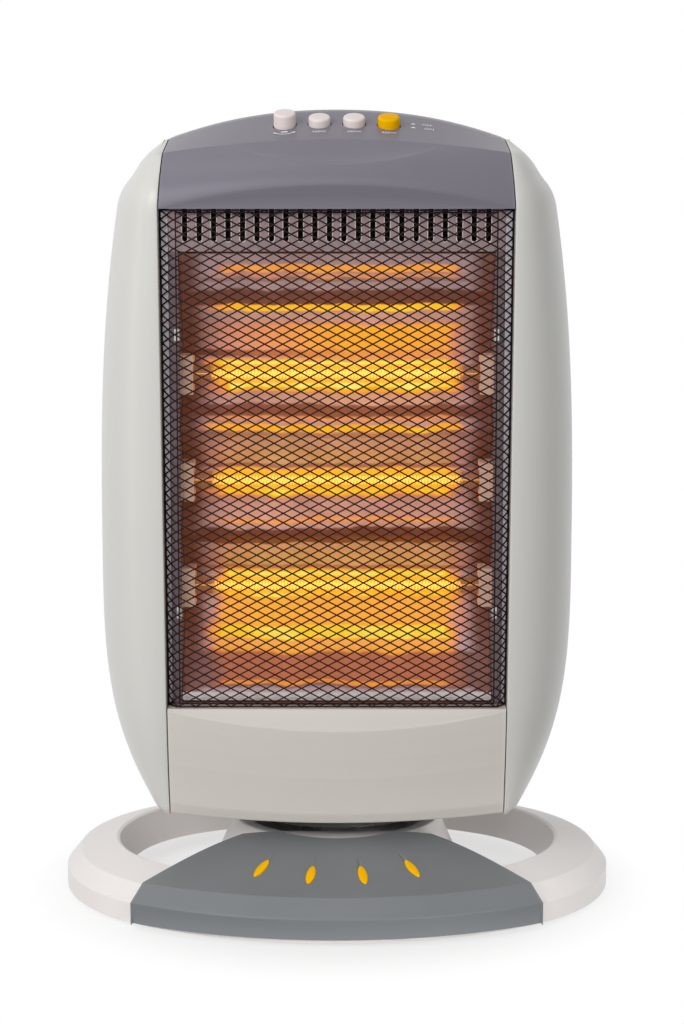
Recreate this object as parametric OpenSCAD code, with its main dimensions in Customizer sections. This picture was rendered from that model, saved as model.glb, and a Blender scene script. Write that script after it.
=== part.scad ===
// Free-standing halogen heater with three lamp tubes behind a wire grille.
// The head swings on a round hub in an oval ring base.
// X runs left to right, Y front to back, Z up. Z = 0 is the floor under the feet.

/* [Ring base] */
// Outer width of the oval ring
ring_width = 350; // [320:1:380]
// Outer depth of the oval ring
ring_depth = 278; // [262:1:300]
// Radius of the round left and right ends of the oval
ring_end_radius = 125; // [118:1:130]
// Height of the rubber feet that show below the ring
foot_height = 2; // [1.5:0.5:4]
// Radius of a rubber foot
foot_radius = 8; // [6:0.5:9]
// Height of the upright skirt round the ring
skirt_height = 12.5; // [10:0.5:16]
// Rise of the bevel above the skirt
bevel_rise = 10.5; // [8:0.5:12]
// Inward run of the bevel
bevel_run = 9; // [7:0.5:11]
// Width of the sloping upper face of the ring
face_width = 25; // [22:0.5:28]
// Rise of the upper face towards the inner edge
face_rise = 6.5; // [4:0.5:8]
// Drop of the inner wall below the inner edge
inner_drop = 21; // [16:0.5:23]
// Inward lean of the inner wall over its drop
inner_lean = 7; // [4:0.5:9]
// Wall thickness of the ring moulding
ring_wall = 2.4; // [2:0.1:3]

/* [Hub] */
// Radius of the hub where it meets the web
hub_foot_radius = 76; // [72:0.5:80]
// Radius of the hub at its top rim
hub_rim_radius = 66; // [64:0.5:69]
// Height of the hub rim above the floor
hub_top = 46; // [44:0.5:48]
// Radius of the recess that holds the crank and link
hub_recess_radius = 58; // [56:0.5:59]
// Height of the recess floor above the floor
hub_floor = 28; // [26:0.5:29]
// Distance of the recess's straight front edge from the swing axis
recess_front = 47; // [44:0.5:50]
// Thickness of the web and of the recess floor
web_wall = 3; // [2.5:0.1:3.5]
// Height of the top face of the web
web_top = 23; // [21:0.5:24]
// Half width of the web behind the hub
rear_web_half = 48; // [40:1:52]
// Radius of the pillar round the pivot tube
pillar_radius = 11.4; // [10.8:0.1:11.6]
// Outer radius of the pivot tube
pivot_radius = 9; // [8:0.25:10]
// Bore radius of the pivot tube
pivot_bore_radius = 7; // [6:0.25:7.25]
// Running clearance between a shaft and its bore
running_clearance = 0.05; // [0.02:0.01:0.08]

/* [Front cover of the base] */
// How far the cover stands in front of the ring
cover_stand_off = 2; // [2:0.1:3]
// Radius of the front arc of the cover
cover_arc_radius = 246; // [240:1:260]
// Height of the lower edge of the cover above the floor
cover_lift = 4.5; // [4:0.5:6]
// Height of the cover's upright skirt
cover_skirt = 12.5; // [11:0.5:14]
// Rise of the cover's bevel
cover_bevel_rise = 11; // [10:0.5:13]
// Inward run of the cover's bevel
cover_bevel_run = 9; // [8:0.5:10]
// Half width of the cover at its front corners
cover_half_width = 126; // [118:1:130]
// Distance of the neck from the swing axis
neck_reach = 57; // [54:0.5:60]
// Half width of the neck
neck_half_width = 59; // [56:0.5:62]
// Radius of the hollow in the neck, about the swing axis
neck_hollow_radius = 67.5; // [67:0.5:70]
// Height of the cover at the neck
neck_height = 50; // [49:0.5:51]
// Wall thickness of the cover
cover_wall = 1.6; // [1.4:0.1:1.6]
// Radius of the arc on which the drop-shaped inserts lie
drop_arc_radius = 108; // [104:0.5:112]
// Angle between two drop-shaped inserts
drop_step = 16.9; // [15:0.1:18]
// Length of a drop-shaped insert
drop_length = 20; // [16:0.5:22]
// Width of a drop-shaped insert
drop_width = 5.6; // [4.5:0.1:6.5]
// Height of an insert above the cover
drop_height = 1.2; // [0.8:0.1:1.6]

/* [Head shell] */
// Width of the head at its widest height
body_width = 299; // [290:1:306]
// Height at which the head is widest
widest_height = 232; // [215:1:250]
// Height of the lower edge of the sides and rear of the head
head_bottom = 60; // [59:0.5:61]
// How far the middle of the lower panel hangs below the sides
front_dip = 3; // [2:0.5:3.5]
// How far each flank draws in at the lower edge
foot_draw_in = 34; // [28:0.5:36]
// How far each flank draws in below the shoulder
flank_draw_in = 12.5; // [9:0.5:14]
// How far each shoulder draws in above the grille
shoulder_draw_in = 23; // [20:0.5:25]
// Depth of the soft dent in each shoulder
shoulder_dent = 1.8; // [0:0.1:2.5]
// Half width between the seams at the lower edge
seam_half_low = 104; // [102:0.5:105]
// Half width between the seams at the top of the grille
seam_half_high = 107; // [105.5:0.5:108.5]
// How much each seam draws in above the grille
seam_draw_in = 2.5; // [1:0.5:3]
// Distance of the front seams from the swing axis
front_reach = 76; // [74:0.5:78]
// Distance of the rear wall from the swing axis
rear_reach = 72; // [66:1:78]
// Distance behind the swing axis of the seam between sides and rear
rear_seam = 4; // [2:0.5:6]
// How far the front bulges between the seams
front_bulge = 5; // [3:0.5:6]
// Wall thickness of the head shells
shell_wall = 2.4; // [2:0.1:2.6]
// Gap between two shells at a seam
seam_gap = 0.6; // [0.4:0.1:0.8]
// Depth of the lip that frames the grille
grille_lip = 15; // [12:0.5:16]

/* [Grille and chamber] */
// Height of the lower edge of the grille
grille_low = 131.5; // [128:0.5:134]
// Height of the upper edge of the grille
grille_high = 436.5; // [434:0.5:439]
// Distance of the grille from the swing axis
grille_reach = 73; // [72:0.5:74]
// Width of each slanted side of the grille
grille_side_run = 4.5; // [4:0.25:5.5]
// Depth of each slanted side of the grille
grille_side_depth = 8; // [7:0.5:9]
// Thickness of the grille strands
strand = 1; // [0.8:0.1:1.4]
// Number of columns of openings in the grille
grille_columns = 7; // [5:1:7]
// Number of rows of openings in the grille
grille_rows = 19; // [13:1:20]
// Radius of the wire that edges the grille
edge_wire_radius = 1.5; // [1.2:0.1:1.8]
// Distance of the chamber's front flanges from the swing axis
chamber_reach = 63; // [61:0.5:64]
// Distance of the chamber's rear from the swing axis
chamber_rear = 8; // [6:0.5:10]
// Half width between the end plates
chamber_half = 96; // [94:0.5:97]
// Width of the flanges on the end plates
flange_width = 5.5; // [5:0.25:6]
// Thickness of the sheet metal
sheet = 0.8; // [0.6:0.1:1]
// Height of the lower edge of the slotted plate
vent_low = 411; // [408:0.5:413]
// Height of the slotted plate
vent_height = 39; // [36:0.5:40]
// Number of slots in the plate
slot_count = 22; // [16:1:23]
// Distance between two slots
slot_pitch = 8.4; // [7.8:0.1:8.6]
// Width of a slot
slot_width = 3; // [2.4:0.1:3.4]

/* [Lamps] */
// Height of the middle lamp
lamp_height = 269.3; // [266:0.5:272]
// Distance between two lamps
lamp_pitch = 66; // [62:0.5:68]
// Distance of the lamps from the swing axis, towards the front
lamp_reach = 45; // [43:0.5:46]
// Outer radius of a lamp tube
tube_radius = 6; // [5:0.25:6.5]
// Wall thickness of a lamp tube
tube_wall = 1; // [0.8:0.1:1.2]
// Length of a lamp tube
tube_length = 186; // [182:0.5:187]
// Radius of the heating coil
coil_radius = 2.6; // [2.2:0.1:3]
// Number of turns of the heating coil
coil_turns = 20; // [14:1:20]
// Length of the heating coil
coil_length = 156; // [148:1:158]
// Radius of the wire of the heating coil
coil_wire = 0.6; // [0.5:0.05:0.7]
// Width of a ceramic lamp holder along the lamp
holder_width = 8; // [7:0.5:9]
// Height of a ceramic lamp holder
holder_height = 24; // [20:0.5:26]
// Depth of a ceramic lamp holder
holder_depth = 20; // [18:0.5:22]
// Distance of the reflector's deepest lines from the swing axis
reflector_back = 20; // [18:0.5:22]
// Distance of the ridges between the lamps from the swing axis
reflector_ridge = 55; // [50:0.5:58]

/* [Top cover and buttons] */
// Height of the ridge of the top cover
top_height = 496.4; // [494:0.2:498]
// How much the ridge falls towards each side
crown = 18; // [15:0.5:20]
// How late the ridge begins to fall towards each side
crown_power = 2.2; // [2:0.05:2.4]
// Rise of the button panel's front edge above the grille
panel_rise = 41.5; // [39.5:0.5:43.5]
// Distance of the front edge of the button panel from the swing axis
panel_front_reach = 56; // [53:0.5:58]
// Distance of the ridge from the swing axis
ridge_reach = 14; // [11:0.5:16]
// Radius of a push button
button_radius = 6.85; // [6:0.05:7.2]
// Distance between two push buttons
button_pitch = 21.2; // [20:0.1:23]
// Height of a pressed button above the panel
button_low = 4.5; // [4:0.1:5.5]
// Extra height of the yellow button
yellow_extra = 1.2; // [0.6:0.1:1.6]
// Travel of a push button
button_travel = 3.6; // [3:0.1:4]
// Clearance round a push button
button_clearance = 0.35; // [0.25:0.05:0.5]

/* [Swing drive] */
// Distance of the motor shaft to the left of the swing axis
drive_side = 23; // [22:0.5:24]
// Distance of the motor shaft behind the swing axis
drive_back = 33; // [32:0.5:34]
// Throw of the crank
crank_throw = 10.3; // [9:0.1:11]
// Distance of the fixed link post to the left of the swing axis
post_side = 17.5; // [17:0.25:19]
// Distance of the fixed link post in front of the swing axis
post_front = 4.2; // [3:0.2:6]
// Radius of the swing motor
motor_radius = 21; // [18:0.5:21.5]
// Height of the swing motor
motor_height = 17; // [14:0.5:20]
// Radius of the turntable under the head
turntable_radius = 63; // [62:0.5:64]
// Thickness of the turntable's disc
turntable_disc = 4; // [3:0.5:5]
// Radius of the turntable's neck, which reaches up into the head
turntable_neck_radius = 47; // [46:0.5:48]
// Radius of the boss on which the turntable stands
turntable_boss_radius = 40; // [39.5:0.5:41]
// Thickness of the thrust washer
washer_height = 3; // [2.5:0.1:3.5]

/* [Hidden] */
$fn = 64;

white = "#EBE6E4";
panel_grey = "#D6D5D1";
cover_grey = "#737679";
top_grey = "#76737D";
yellow = "#FAB40A";

// Solids that are joined sink this far into each other, and cutters pass this far beyond a face
joint_sink = 0.5;
// Small gap between a piece and the seat that it rests on
seat_gap = 0.3;
// Inward roll of the lower edges of the head shells
edge_round = 5;

// ---- Oval ring: four arcs that meet without a corner ----
ring_half = ring_width / 2;
ring_deep = ring_depth / 2;
ring_shift = cover_stand_off / 2;
end_offset = ring_half - ring_end_radius;
side_radius = (end_offset * end_offset + ring_deep * ring_deep - ring_end_radius * ring_end_radius)
    / (2 * (ring_deep - ring_end_radius));
side_offset = side_radius - ring_deep;
arc_split = atan2(side_offset, end_offset);

skirt_top = foot_height + skirt_height;
knee_inset = bevel_run * 0.35;
knee_top = skirt_top + bevel_rise * 0.62;
crease_inset = bevel_run;
crease_top = skirt_top + bevel_rise;
edge_inset = bevel_run + face_width;
edge_top = crease_top + face_rise;
wall_low = edge_top - inner_drop;
wall_inset = edge_inset + inner_lean;

// Points are [inset from the outer edge, height]
ring_outline = [
    [0, foot_height], [0, skirt_top], [knee_inset, knee_top],
    [crease_inset, crease_top], [edge_inset - 2, edge_top], [edge_inset, edge_top - 0.8],
    [wall_inset, wall_low], [wall_inset - ring_wall, wall_low],
    [edge_inset - ring_wall - 0.4, edge_top - ring_wall - 1],
    [crease_inset + 0.6, crease_top - ring_wall], [knee_inset + ring_wall, skirt_top + bevel_rise * 0.5],
    [ring_wall, skirt_top], [ring_wall, foot_height]
];
// Room that the ring takes under the front cover, with the gap of a part that only touches
ring_room = [
    [-seat_gap, -joint_sink], [-seat_gap, skirt_top], [knee_inset - seat_gap, knee_top + seat_gap],
    [crease_inset, crease_top + seat_gap], [edge_inset - 2, edge_top + seat_gap],
    [edge_inset + seat_gap, edge_top - 0.5], [wall_inset + seat_gap, wall_low], [wall_inset + seat_gap, -joint_sink]
];
// The long arcs lie this far inside the end arcs and reach this angle into them, so that they join
arc_step = 0.15;
arc_overlap = 1;

// Sweeps a profile of [inset, height] points round the oval
module oval_sweep(points) {
    for (side = [0, 1]) {
        rotate(180 * side)
            translate([end_offset, 0, 0])
                rotate_extrude(angle = 2 * arc_split, start = -arc_split)
                    polygon([for (p = points) [ring_end_radius - p[0], p[1]]]);
        rotate(180 * side)
            translate([0, -side_offset, 0])
                rotate_extrude(angle = 180 - 2 * (arc_split - arc_overlap), start = arc_split - arc_overlap)
                    polygon([for (p = points) [side_radius - arc_step - p[0], p[1] - arc_step / 2]]);
    }
}

// ---- Front cover of the base ----
cover_front = ring_deep + cover_stand_off / 2;
cover_centre = cover_arc_radius - cover_front;
cover_skirt_top = cover_lift + cover_skirt;
cover_crease_radius = cover_arc_radius - cover_bevel_run;
cover_crease_top = cover_skirt_top + cover_bevel_rise;
neck_radius = cover_centre + neck_reach - 4;
cover_slope = (neck_height - cover_crease_top) / (cover_crease_radius - cover_centre - neck_reach);
corner_reach = sqrt(cover_arc_radius * cover_arc_radius - cover_half_width * cover_half_width) - cover_centre;
bow_steps = 8;

function cover_height(radius) = cover_crease_top + cover_slope * (cover_crease_radius - radius);

// One side edge of the cover, bowed inwards between the front corner and the neck
function side_edge() = [
    for (i = [0 : bow_steps])
        let (t = i / bow_steps, bow = 5 * sin(180 * t))
            [cover_half_width - 7 * sin(90 * t) - (cover_half_width - neck_half_width - 7) * t - bow * 0.45,
             -corner_reach + 10 * sin(90 * t) + (corner_reach - neck_reach - 10) * t + bow * 0.9]
];

module cover_fan(inset) {
    front = cover_front + 20;
    edge = [for (p = side_edge()) [p[0] - inset, p[1] - inset * 0.5]];
    mirrored = [for (i = [bow_steps : -1 : 0]) [-edge[i][0], edge[i][1]]];
    polygon(concat([[-edge[0][0], -front], [edge[0][0], -front]], edge, mirrored));
}

module cover_round(inset) {
    translate([0, cover_centre, 0])
        rotate_extrude(angle = 80, start = 230)
            polygon([
                [neck_radius - 10, cover_lift - inset * 10], [cover_arc_radius - inset, cover_lift - inset * 10],
                [cover_arc_radius - inset, cover_skirt_top - inset * 0.4],
                [cover_arc_radius - cover_bevel_run * 0.3 - inset * 0.95,
                 cover_skirt_top + cover_bevel_rise * 0.6 - inset * 0.4],
                [cover_crease_radius - inset * 0.4, cover_crease_top - inset],
                [neck_radius - 10, cover_height(neck_radius - 10) - inset]
            ]);
}

// Height and slope of the cover under a drop-shaped insert
function drop_angle(i) = (i - 2.5) * drop_step;
function drop_point(i) = [drop_arc_radius * sin(drop_angle(i)), -drop_arc_radius * cos(drop_angle(i))];
function drop_span(i) = norm([drop_point(i)[0], drop_point(i)[1] - cover_centre]);

module at_drop(i) {
    tilt = atan(cover_slope);
    translate([drop_point(i)[0], drop_point(i)[1], cover_height(drop_span(i))])
        rotate(drop_angle(i))
            rotate([tilt, 0, 0])
                children();
}

// Flat almond outline of an insert, its long axis towards the hub
module drop_outline(extra) {
    half_length = drop_length / 2 + extra;
    half_width = drop_width / 2 + extra;
    bow = (half_length * half_length + half_width * half_width) / (2 * half_width);
    intersection() {
        translate([bow - half_width, 0])
            circle(r = bow, $fn = 180);
        translate([half_width - bow, 0])
            circle(r = bow, $fn = 180);
    }
}

module base_front_cover() {
    boss_radius = 4;
    groove_length = 17;
    groove_side = 3;
    groove_depth = 0.9;
    groove_tilt = 3;
    color(cover_grey)
        difference() {
            union() {
                difference() {
                    intersection() {
                        cover_round(0);
                        linear_extrude(height = top_height) cover_fan(0);
                    }
                    intersection() {
                        cover_round(cover_wall);
                        translate([0, 0, -joint_sink]) linear_extrude(height = top_height) cover_fan(cover_wall);
                    }
                }
                for (x = [-1, 1])
                    intersection() {
                        cover_round(cover_wall / 2);
                        translate([x * cover_half_width * 0.55, -corner_reach + 17, web_top])
                            cylinder(r = boss_radius, h = neck_height);
                    }
            }
            translate([0, ring_shift, 0]) oval_sweep(ring_room);
            cylinder(r = neck_hollow_radius, h = top_height);
            translate([0, 0, -joint_sink]) cylinder(r = hub_foot_radius + seat_gap, h = hub_top + joint_sink + seat_gap);
            for (i = [1 : 4])
                at_drop(i) {
                    translate([0, 0, -cover_wall * 0.7]) linear_extrude(height = cover_wall) drop_outline(0.15);
                    translate([0, drop_length * 0.35, -groove_depth])
                        rotate([groove_tilt, 0, 0])
                            rotate([0, -45, 0])
                                cube([groove_side, groove_length, groove_side]);
                }
        }
}

module insert(i) {
    dome_radius = 44;
    color(yellow)
        at_drop(i)
            intersection() {
                translate([0, 0, -cover_wall * 0.6]) linear_extrude(height = cover_wall + drop_height) drop_outline(0);
                translate([0, 0, drop_height - dome_radius]) sphere(r = dome_radius, $fn = 180);
            }
}

// ---- Ring base with its web and hub ----
foot_angle = 35;
foot_track = ring_end_radius - foot_radius - ring_wall - 1.6;
function foot_points() = [for (sx = [-1, 1], sy = [-1, 1])
    [sx * (end_offset + foot_track * cos(foot_angle)), ring_shift + sy * foot_track * sin(foot_angle)]];

// Outline of the web that ties the hub to the front and rear of the ring
module web_outline() {
    inside = wall_inset - ring_wall;
    web_edge = [for (p = side_edge()) [p[0] - cover_wall - 4, p[1] - 3]];
    flipped = [for (i = [bow_steps : -1 : 0]) [-web_edge[i][0], web_edge[i][1]]];
    front_line = -(ring_deep - ring_shift - inside);
    rear_line = ring_deep + ring_shift - inside;
    intersection() {
        union() {
            polygon(concat(web_edge, flipped));
            translate([-rear_web_half, 0]) square([2 * rear_web_half, rear_line]);
        }
        translate([-ring_half, front_line]) square([ring_width, rear_line - front_line]);
    }
}

module base_ring() {
    floor_low = hub_floor - web_wall;
    color(white)
        difference() {
            union() {
                translate([0, ring_shift, 0]) oval_sweep(ring_outline);
                difference() {
                    translate([0, 0, web_top - web_wall]) linear_extrude(height = web_wall) web_outline();
                    cylinder(r = hub_recess_radius, h = hub_top);
                }
                difference() {
                    translate([0, 0, web_top - web_wall])
                        cylinder(r1 = hub_foot_radius, r2 = hub_rim_radius, h = hub_top - web_top + web_wall);
                    intersection() {
                        translate([0, 0, hub_floor]) cylinder(r = hub_recess_radius, h = hub_top);
                        translate([-ring_half, -recess_front, 0]) cube([ring_width, ring_half, top_height]);
                    }
                    cylinder(r = hub_recess_radius, h = floor_low);
                    intersection() {
                        cylinder(r = hub_recess_radius, h = hub_top - web_wall);
                        translate([-ring_half, -ring_half, 0])
                            cube([ring_width, ring_half - recess_front - web_wall, hub_top]);
                    }
                }
                translate([0, 0, floor_low]) cylinder(r = pillar_radius, h = hub_top - floor_low);
                translate([-post_side, -post_front, floor_low])
                    cylinder(r = post_radius, h = link_low - link_gap - floor_low);
                for (p = foot_points())
                    translate([p[0], p[1], foot_height])
                        cylinder(r = foot_radius - 2.5, h = crease_top - foot_height - 2.5);
            }
            cylinder(r = pivot_radius + running_clearance, h = top_height);
        }
}

module rubber_feet() {
    color("#2B2B2B")
        for (p = foot_points())
            translate([p[0], p[1], 0])
                cylinder(r1 = foot_radius - 1, r2 = foot_radius, h = foot_height);
}

// ---- Pivot ----
washer_top = hub_top + washer_height;
plate_low = head_bottom + edge_round + 0.5;
plate_thickness = 2.5;
plate_top = plate_low + plate_thickness;
nut_low = plate_top + seat_gap;
nut_height = 8;
nut_radius = 12.5;

module pivot_tube() {
    flange_height = 2;
    flange_low = hub_floor - web_wall - flange_height;
    color("silver")
        difference() {
            union() {
                translate([0, 0, flange_low]) cylinder(r = pillar_radius, h = flange_height);
                translate([0, 0, flange_low]) cylinder(r = pivot_radius, h = nut_low + nut_height + 3 - flange_low);
            }
            translate([0, 0, flange_low - joint_sink]) cylinder(r = pivot_bore_radius, h = top_height);
        }
}

module thrust_washer() {
    washer_radius = 16;
    color("#F2F0E6")
        translate([0, 0, hub_top])
            difference() {
                cylinder(r = washer_radius, h = washer_height - seat_gap / 3);
                translate([0, 0, -joint_sink]) cylinder(r = pivot_radius + running_clearance, h = washer_height * 2);
            }
}

module pivot_nut() {
    color("silver")
        translate([0, 0, nut_low])
            difference() {
                cylinder(r = nut_radius, h = nut_height, $fn = 6);
                translate([0, 0, -joint_sink]) cylinder(r = pivot_radius + running_clearance, h = nut_height * 2);
            }
}

// ---- Swing drive in the hub ----
link_gap = 0.4;
link_height = 2.5;
link_low = 34;
crank_low = link_low + link_height + 3;
crank_disc_height = 4;
shaft_radius = 3.5;
crank_pin_radius = 3;
link_run = [drive_side - crank_throw - post_side, -drive_back - post_front];
link_length = norm(link_run);
link_angle = atan2(link_run[1], link_run[0]);
post_radius = 4;

module crank() {
    color("#B9BCC0")
        translate([-drive_side, drive_back, 0]) {
            translate([0, 0, crank_low]) cylinder(r = crank_throw + 4, h = crank_disc_height);
            translate([crank_throw, 0, link_low - link_gap])
                cylinder(r = crank_pin_radius, h = crank_low - link_low + link_gap + joint_sink);
            translate([0, 0, crank_low + joint_sink]) cylinder(r = shaft_radius, h = plate_top + 8 - crank_low);
        }
}

module link() {
    eye_radius = 5.5;
    color("#C8C9CC")
        translate([crank_throw - drive_side, drive_back, link_low])
            rotate(link_angle)
                difference() {
                    union() {
                        cylinder(r = eye_radius, h = link_height);
                        translate([link_length, 0, 0]) cylinder(r = eye_radius, h = link_height);
                        translate([0, -eye_radius * 0.6, 0]) cube([link_length, eye_radius * 1.2, link_height]);
                    }
                    for (x = [0, link_length])
                        translate([x, 0, -joint_sink])
                            cylinder(r = crank_pin_radius + running_clearance, h = link_height * 2);
                }
}

module swing_motor() {
    color("#9A9DA2")
        translate([-drive_side, drive_back, plate_top])
            difference() {
                union() {
                    cylinder(r = motor_radius, h = motor_height);
                    for (a = [120, 300])
                        rotate(a) translate([-4, motor_radius - 2, 0]) cube([8, 7, 1.5]);
                }
                translate([0, 0, -joint_sink]) cylinder(r = shaft_radius + running_clearance, h = 10);
            }
}

disc_top = head_bottom - front_dip - 0.5;
disc_low = disc_top - turntable_disc;

module turntable() {
    color("#1E1E20")
        difference() {
            union() {
                translate([0, 0, disc_low]) cylinder(r = turntable_radius, h = turntable_disc);
                translate([0, 0, disc_low]) cylinder(r = turntable_neck_radius, h = plate_low - disc_low);
                translate([0, 0, washer_top]) cylinder(r = turntable_boss_radius, h = disc_low - washer_top + joint_sink);
            }
            cylinder(r = pivot_radius + running_clearance, h = top_height);
            translate([-drive_side, drive_back, 0]) cylinder(r = shaft_radius + 1, h = top_height);
            for (a = screw_angles)
                rotate(a) translate([screw_circle, 0, 0]) cylinder(r = screw_radius + 0.2, h = top_height);
        }
}

screw_angles = [20, 170, 235, 305];
screw_circle = 36;
screw_radius = 1.8;

module turntable_screws() {
    color("silver")
        for (a = screw_angles)
            rotate(a)
                translate([screw_circle, 0, 0]) {
                    translate([0, 0, washer_top - 2]) cylinder(r = 3.5, h = 2);
                    translate([0, 0, washer_top - 1]) cylinder(r = screw_radius, h = plate_top - washer_top + 4);
                }
}

// ---- Outline of the head, from front and from the side ----
shell_half = body_width / 2;
side_top = top_height - crown;
top_edge = grille_high + 0.5;
dent_height = top_edge + (side_top - top_edge) * 0.47;
dent_spread = 6.5;

// Half width of the head at a height
function flank(z) =
    z < widest_height
        ? shell_half - foot_draw_in * pow((widest_height - z) / (widest_height - head_bottom), 3.6)
        : shell_half - flank_draw_in * pow((z - widest_height) / (top_edge - widest_height), 2.6)
            - (z > top_edge ? shoulder_draw_in * pow((z - top_edge) / (side_top - top_edge), 2) : 0)
            - shoulder_dent * exp(-pow((z - dent_height) / dent_spread, 2));

// Half width of the head, with the crown of the top above the shoulders
function outline(z) =
    z <= side_top ? flank(z) : flank(side_top) * pow(max(0, (top_height - z) / crown), 1 / crown_power);

// Half width of the opening between the side panels
function seam_half(z) =
    z < top_edge
        ? seam_half_low + (seam_half_high - seam_half_low) * (z - head_bottom) / (top_edge - head_bottom)
        : seam_half_high - seam_draw_in * (z - top_edge) / (side_top - top_edge);

panel_front_height = grille_high + panel_rise;
panel_edge_drop = 8;
side_shoulder = panel_front_height - panel_edge_drop;

// Distance of the front seams from the swing axis at a height
function seam_reach(z) =
    z < grille_low
        ? front_reach - 13 * pow((grille_low - z) / (grille_low - head_bottom), 1.7)
        : z < top_edge
            ? front_reach
            : z < side_shoulder
                ? front_reach - (front_reach - panel_front_reach) * pow((z - top_edge) / (side_shoulder - top_edge), 2.2)
                : panel_front_reach
                    - (panel_front_reach - 8) * min(1, (z - side_shoulder) / (side_top - side_shoulder));

// The rear wall is upright between these heights and curves forwards below and above
rear_curve_low = head_bottom + 50;
rear_curve_high = grille_high - 36.5;

// Distance of the rear wall from the swing axis at a height
function rear_line(z) =
    z < rear_curve_low
        ? rear_reach - 14 * pow((rear_curve_low - z) / (rear_curve_low - head_bottom), 2)
        : z < rear_curve_high
            ? rear_reach
            : rear_reach - (rear_reach - rear_seam - 1)
                * pow((z - rear_curve_high) / (top_height - rear_curve_high), 2.4);

// ---- Sheets with thickness, built on a grid of points ----
function grid_normal(g, i, j) =
    let (
        rows = len(g) - 1,
        cols = len(g[0]) - 1,
        du = g[min(i + 1, rows)][j] - g[max(i - 1, 0)][j],
        dv = g[i][min(j + 1, cols)] - g[i][max(j - 1, 0)],
        n = cross(du, dv)
    ) n / norm(n);

function grid_shift(g, t) = [
    for (i = [0 : len(g) - 1])
        [for (j = [0 : len(g[0]) - 1]) g[i][j] + t * grid_normal(g, i, j)]
];

function flatten(g) = [for (row = g) for (p = row) p];

function two(a, b, c, d, flip) = flip ? [[a, c, b], [a, d, c]] : [[a, b, c], [a, c, d]];

function sheet_faces(m, n, off, flip) = [
    for (i = [0 : m - 2], j = [0 : n - 2])
        for (f = two(off + i * n + j, off + i * n + j + 1, off + (i + 1) * n + j + 1, off + (i + 1) * n + j, flip)) f
];

function rim_faces(m, n, o) = concat(
    [for (j = [0 : n - 2]) for (f = two(j, j + 1, o + j + 1, o + j, false)) f],
    [for (j = [0 : n - 2]) let (r = (m - 1) * n)
        for (f = two(r + j, r + j + 1, o + r + j + 1, o + r + j, true)) f],
    [for (i = [0 : m - 2]) for (f = two(i * n, (i + 1) * n, o + (i + 1) * n, o + i * n, true)) f],
    [for (i = [0 : m - 2]) let (c = n - 1)
        for (f = two(i * n + c, (i + 1) * n + c, o + (i + 1) * n + c, o + i * n + c, false)) f]
);

// A closed shell between an outer grid and the same grid moved inwards by a wall thickness
module thick_sheet(g, t) {
    m = len(g);
    n = len(g[0]);
    inner = grid_shift(g, t);
    polyhedron(
        points = concat(flatten(g), flatten(inner)),
        faces = concat(sheet_faces(m, n, 0, true), sheet_faces(m, n, m * n, false), rim_faces(m, n, m * n))
    );
}

// Heights that crowd together towards both ends of a span
function eased(low, high, i, steps) = low + (high - low) * (1 - cos(180 * i / steps)) / 2;

panel_rows = 26;
panel_cols = 9;

// One row of the left side panel: a quarter round from the rear seam to the front edge, then the lip
function side_row(z, tuck) =
    let (
        half = outline(z) - tuck,
        seam = seam_half(z) + seam_gap / 2,
        reach = seam_reach(z) - tuck,
        lip = min(grille_lip, reach + rear_seam - 4)
    ) concat(
        [for (k = [panel_cols : -1 : 0])
            let (a = 90 * k / panel_cols)
                [-seam - (half - seam) * pow(sin(a), 0.9), rear_seam - (reach + rear_seam) * pow(cos(a), 0.9), z]],
        [[-seam, -reach + lip, z]]
    );

function side_grid() = concat(
    [side_row(head_bottom, edge_round)],
    [side_row(head_bottom + edge_round * 0.3, edge_round * 0.3)],
    [for (i = [0 : panel_rows]) side_row(eased(head_bottom + edge_round, side_top - 0.5, i, panel_rows), 0)]
);

module left_panel() {
    color(panel_grey)
        thick_sheet(side_grid(), shell_wall);
}

module right_panel() {
    color(panel_grey)
        mirror([1, 0, 0])
            thick_sheet(side_grid(), shell_wall);
}

// ---- Lower front panel with a crescent step under the grille ----
lower_cols = 20;
lower_rows = 9;
lower_top = grille_low - seat_gap;
crescent_drop = 12;

function lower_row(k) = [
    for (i = [0 : lower_cols])
        let (
            u = 1 - 2 * i / lower_cols,
            m = 1 - u * u,
            bottom = head_bottom + 2 - (front_dip + 2) * m,
            crease = lower_top - 1.2 - crescent_drop * m,
            t = max(0, (k - 2) / lower_rows),
            z = k == 0 || k == 1 ? lower_top : k == 2 ? crease : crease + (bottom - crease) * t,
            tuck = k == 0 ? grille_lip : k == 1 ? 1.5 * m : 0,
            round = k == lower_rows + 2 ? 1 : 0,
            y = -seam_reach(z) - front_bulge * m * (k < 2 ? 0.6 : 1 + 0.7 * t) + tuck + round,
            x = u * (seam_half(z) - seam_gap / 2)
        ) [x, y, z]
];

function lower_floor_row() = [
    for (i = [0 : lower_cols])
        let (p = lower_row(lower_rows + 2)[i]) [p[0], p[1] + 12, p[2] - 0.4]
];

module lower_panel() {
    color("#C8C4BE")
        thick_sheet(concat([for (k = [0 : lower_rows + 2]) lower_row(k)], [lower_floor_row()]), shell_wall);
}

// ---- Top cover: crescent edge, face, thumb scoop, button panel and ridge ----
top_cols = 28;
scoop_half = 62.5;
scoop_depth = 14.5;
crescent_rise = 13.5;
crescent_push = 4;
face_steps = 6;
scoop_steps = 4;
panel_steps = 4;

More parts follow.
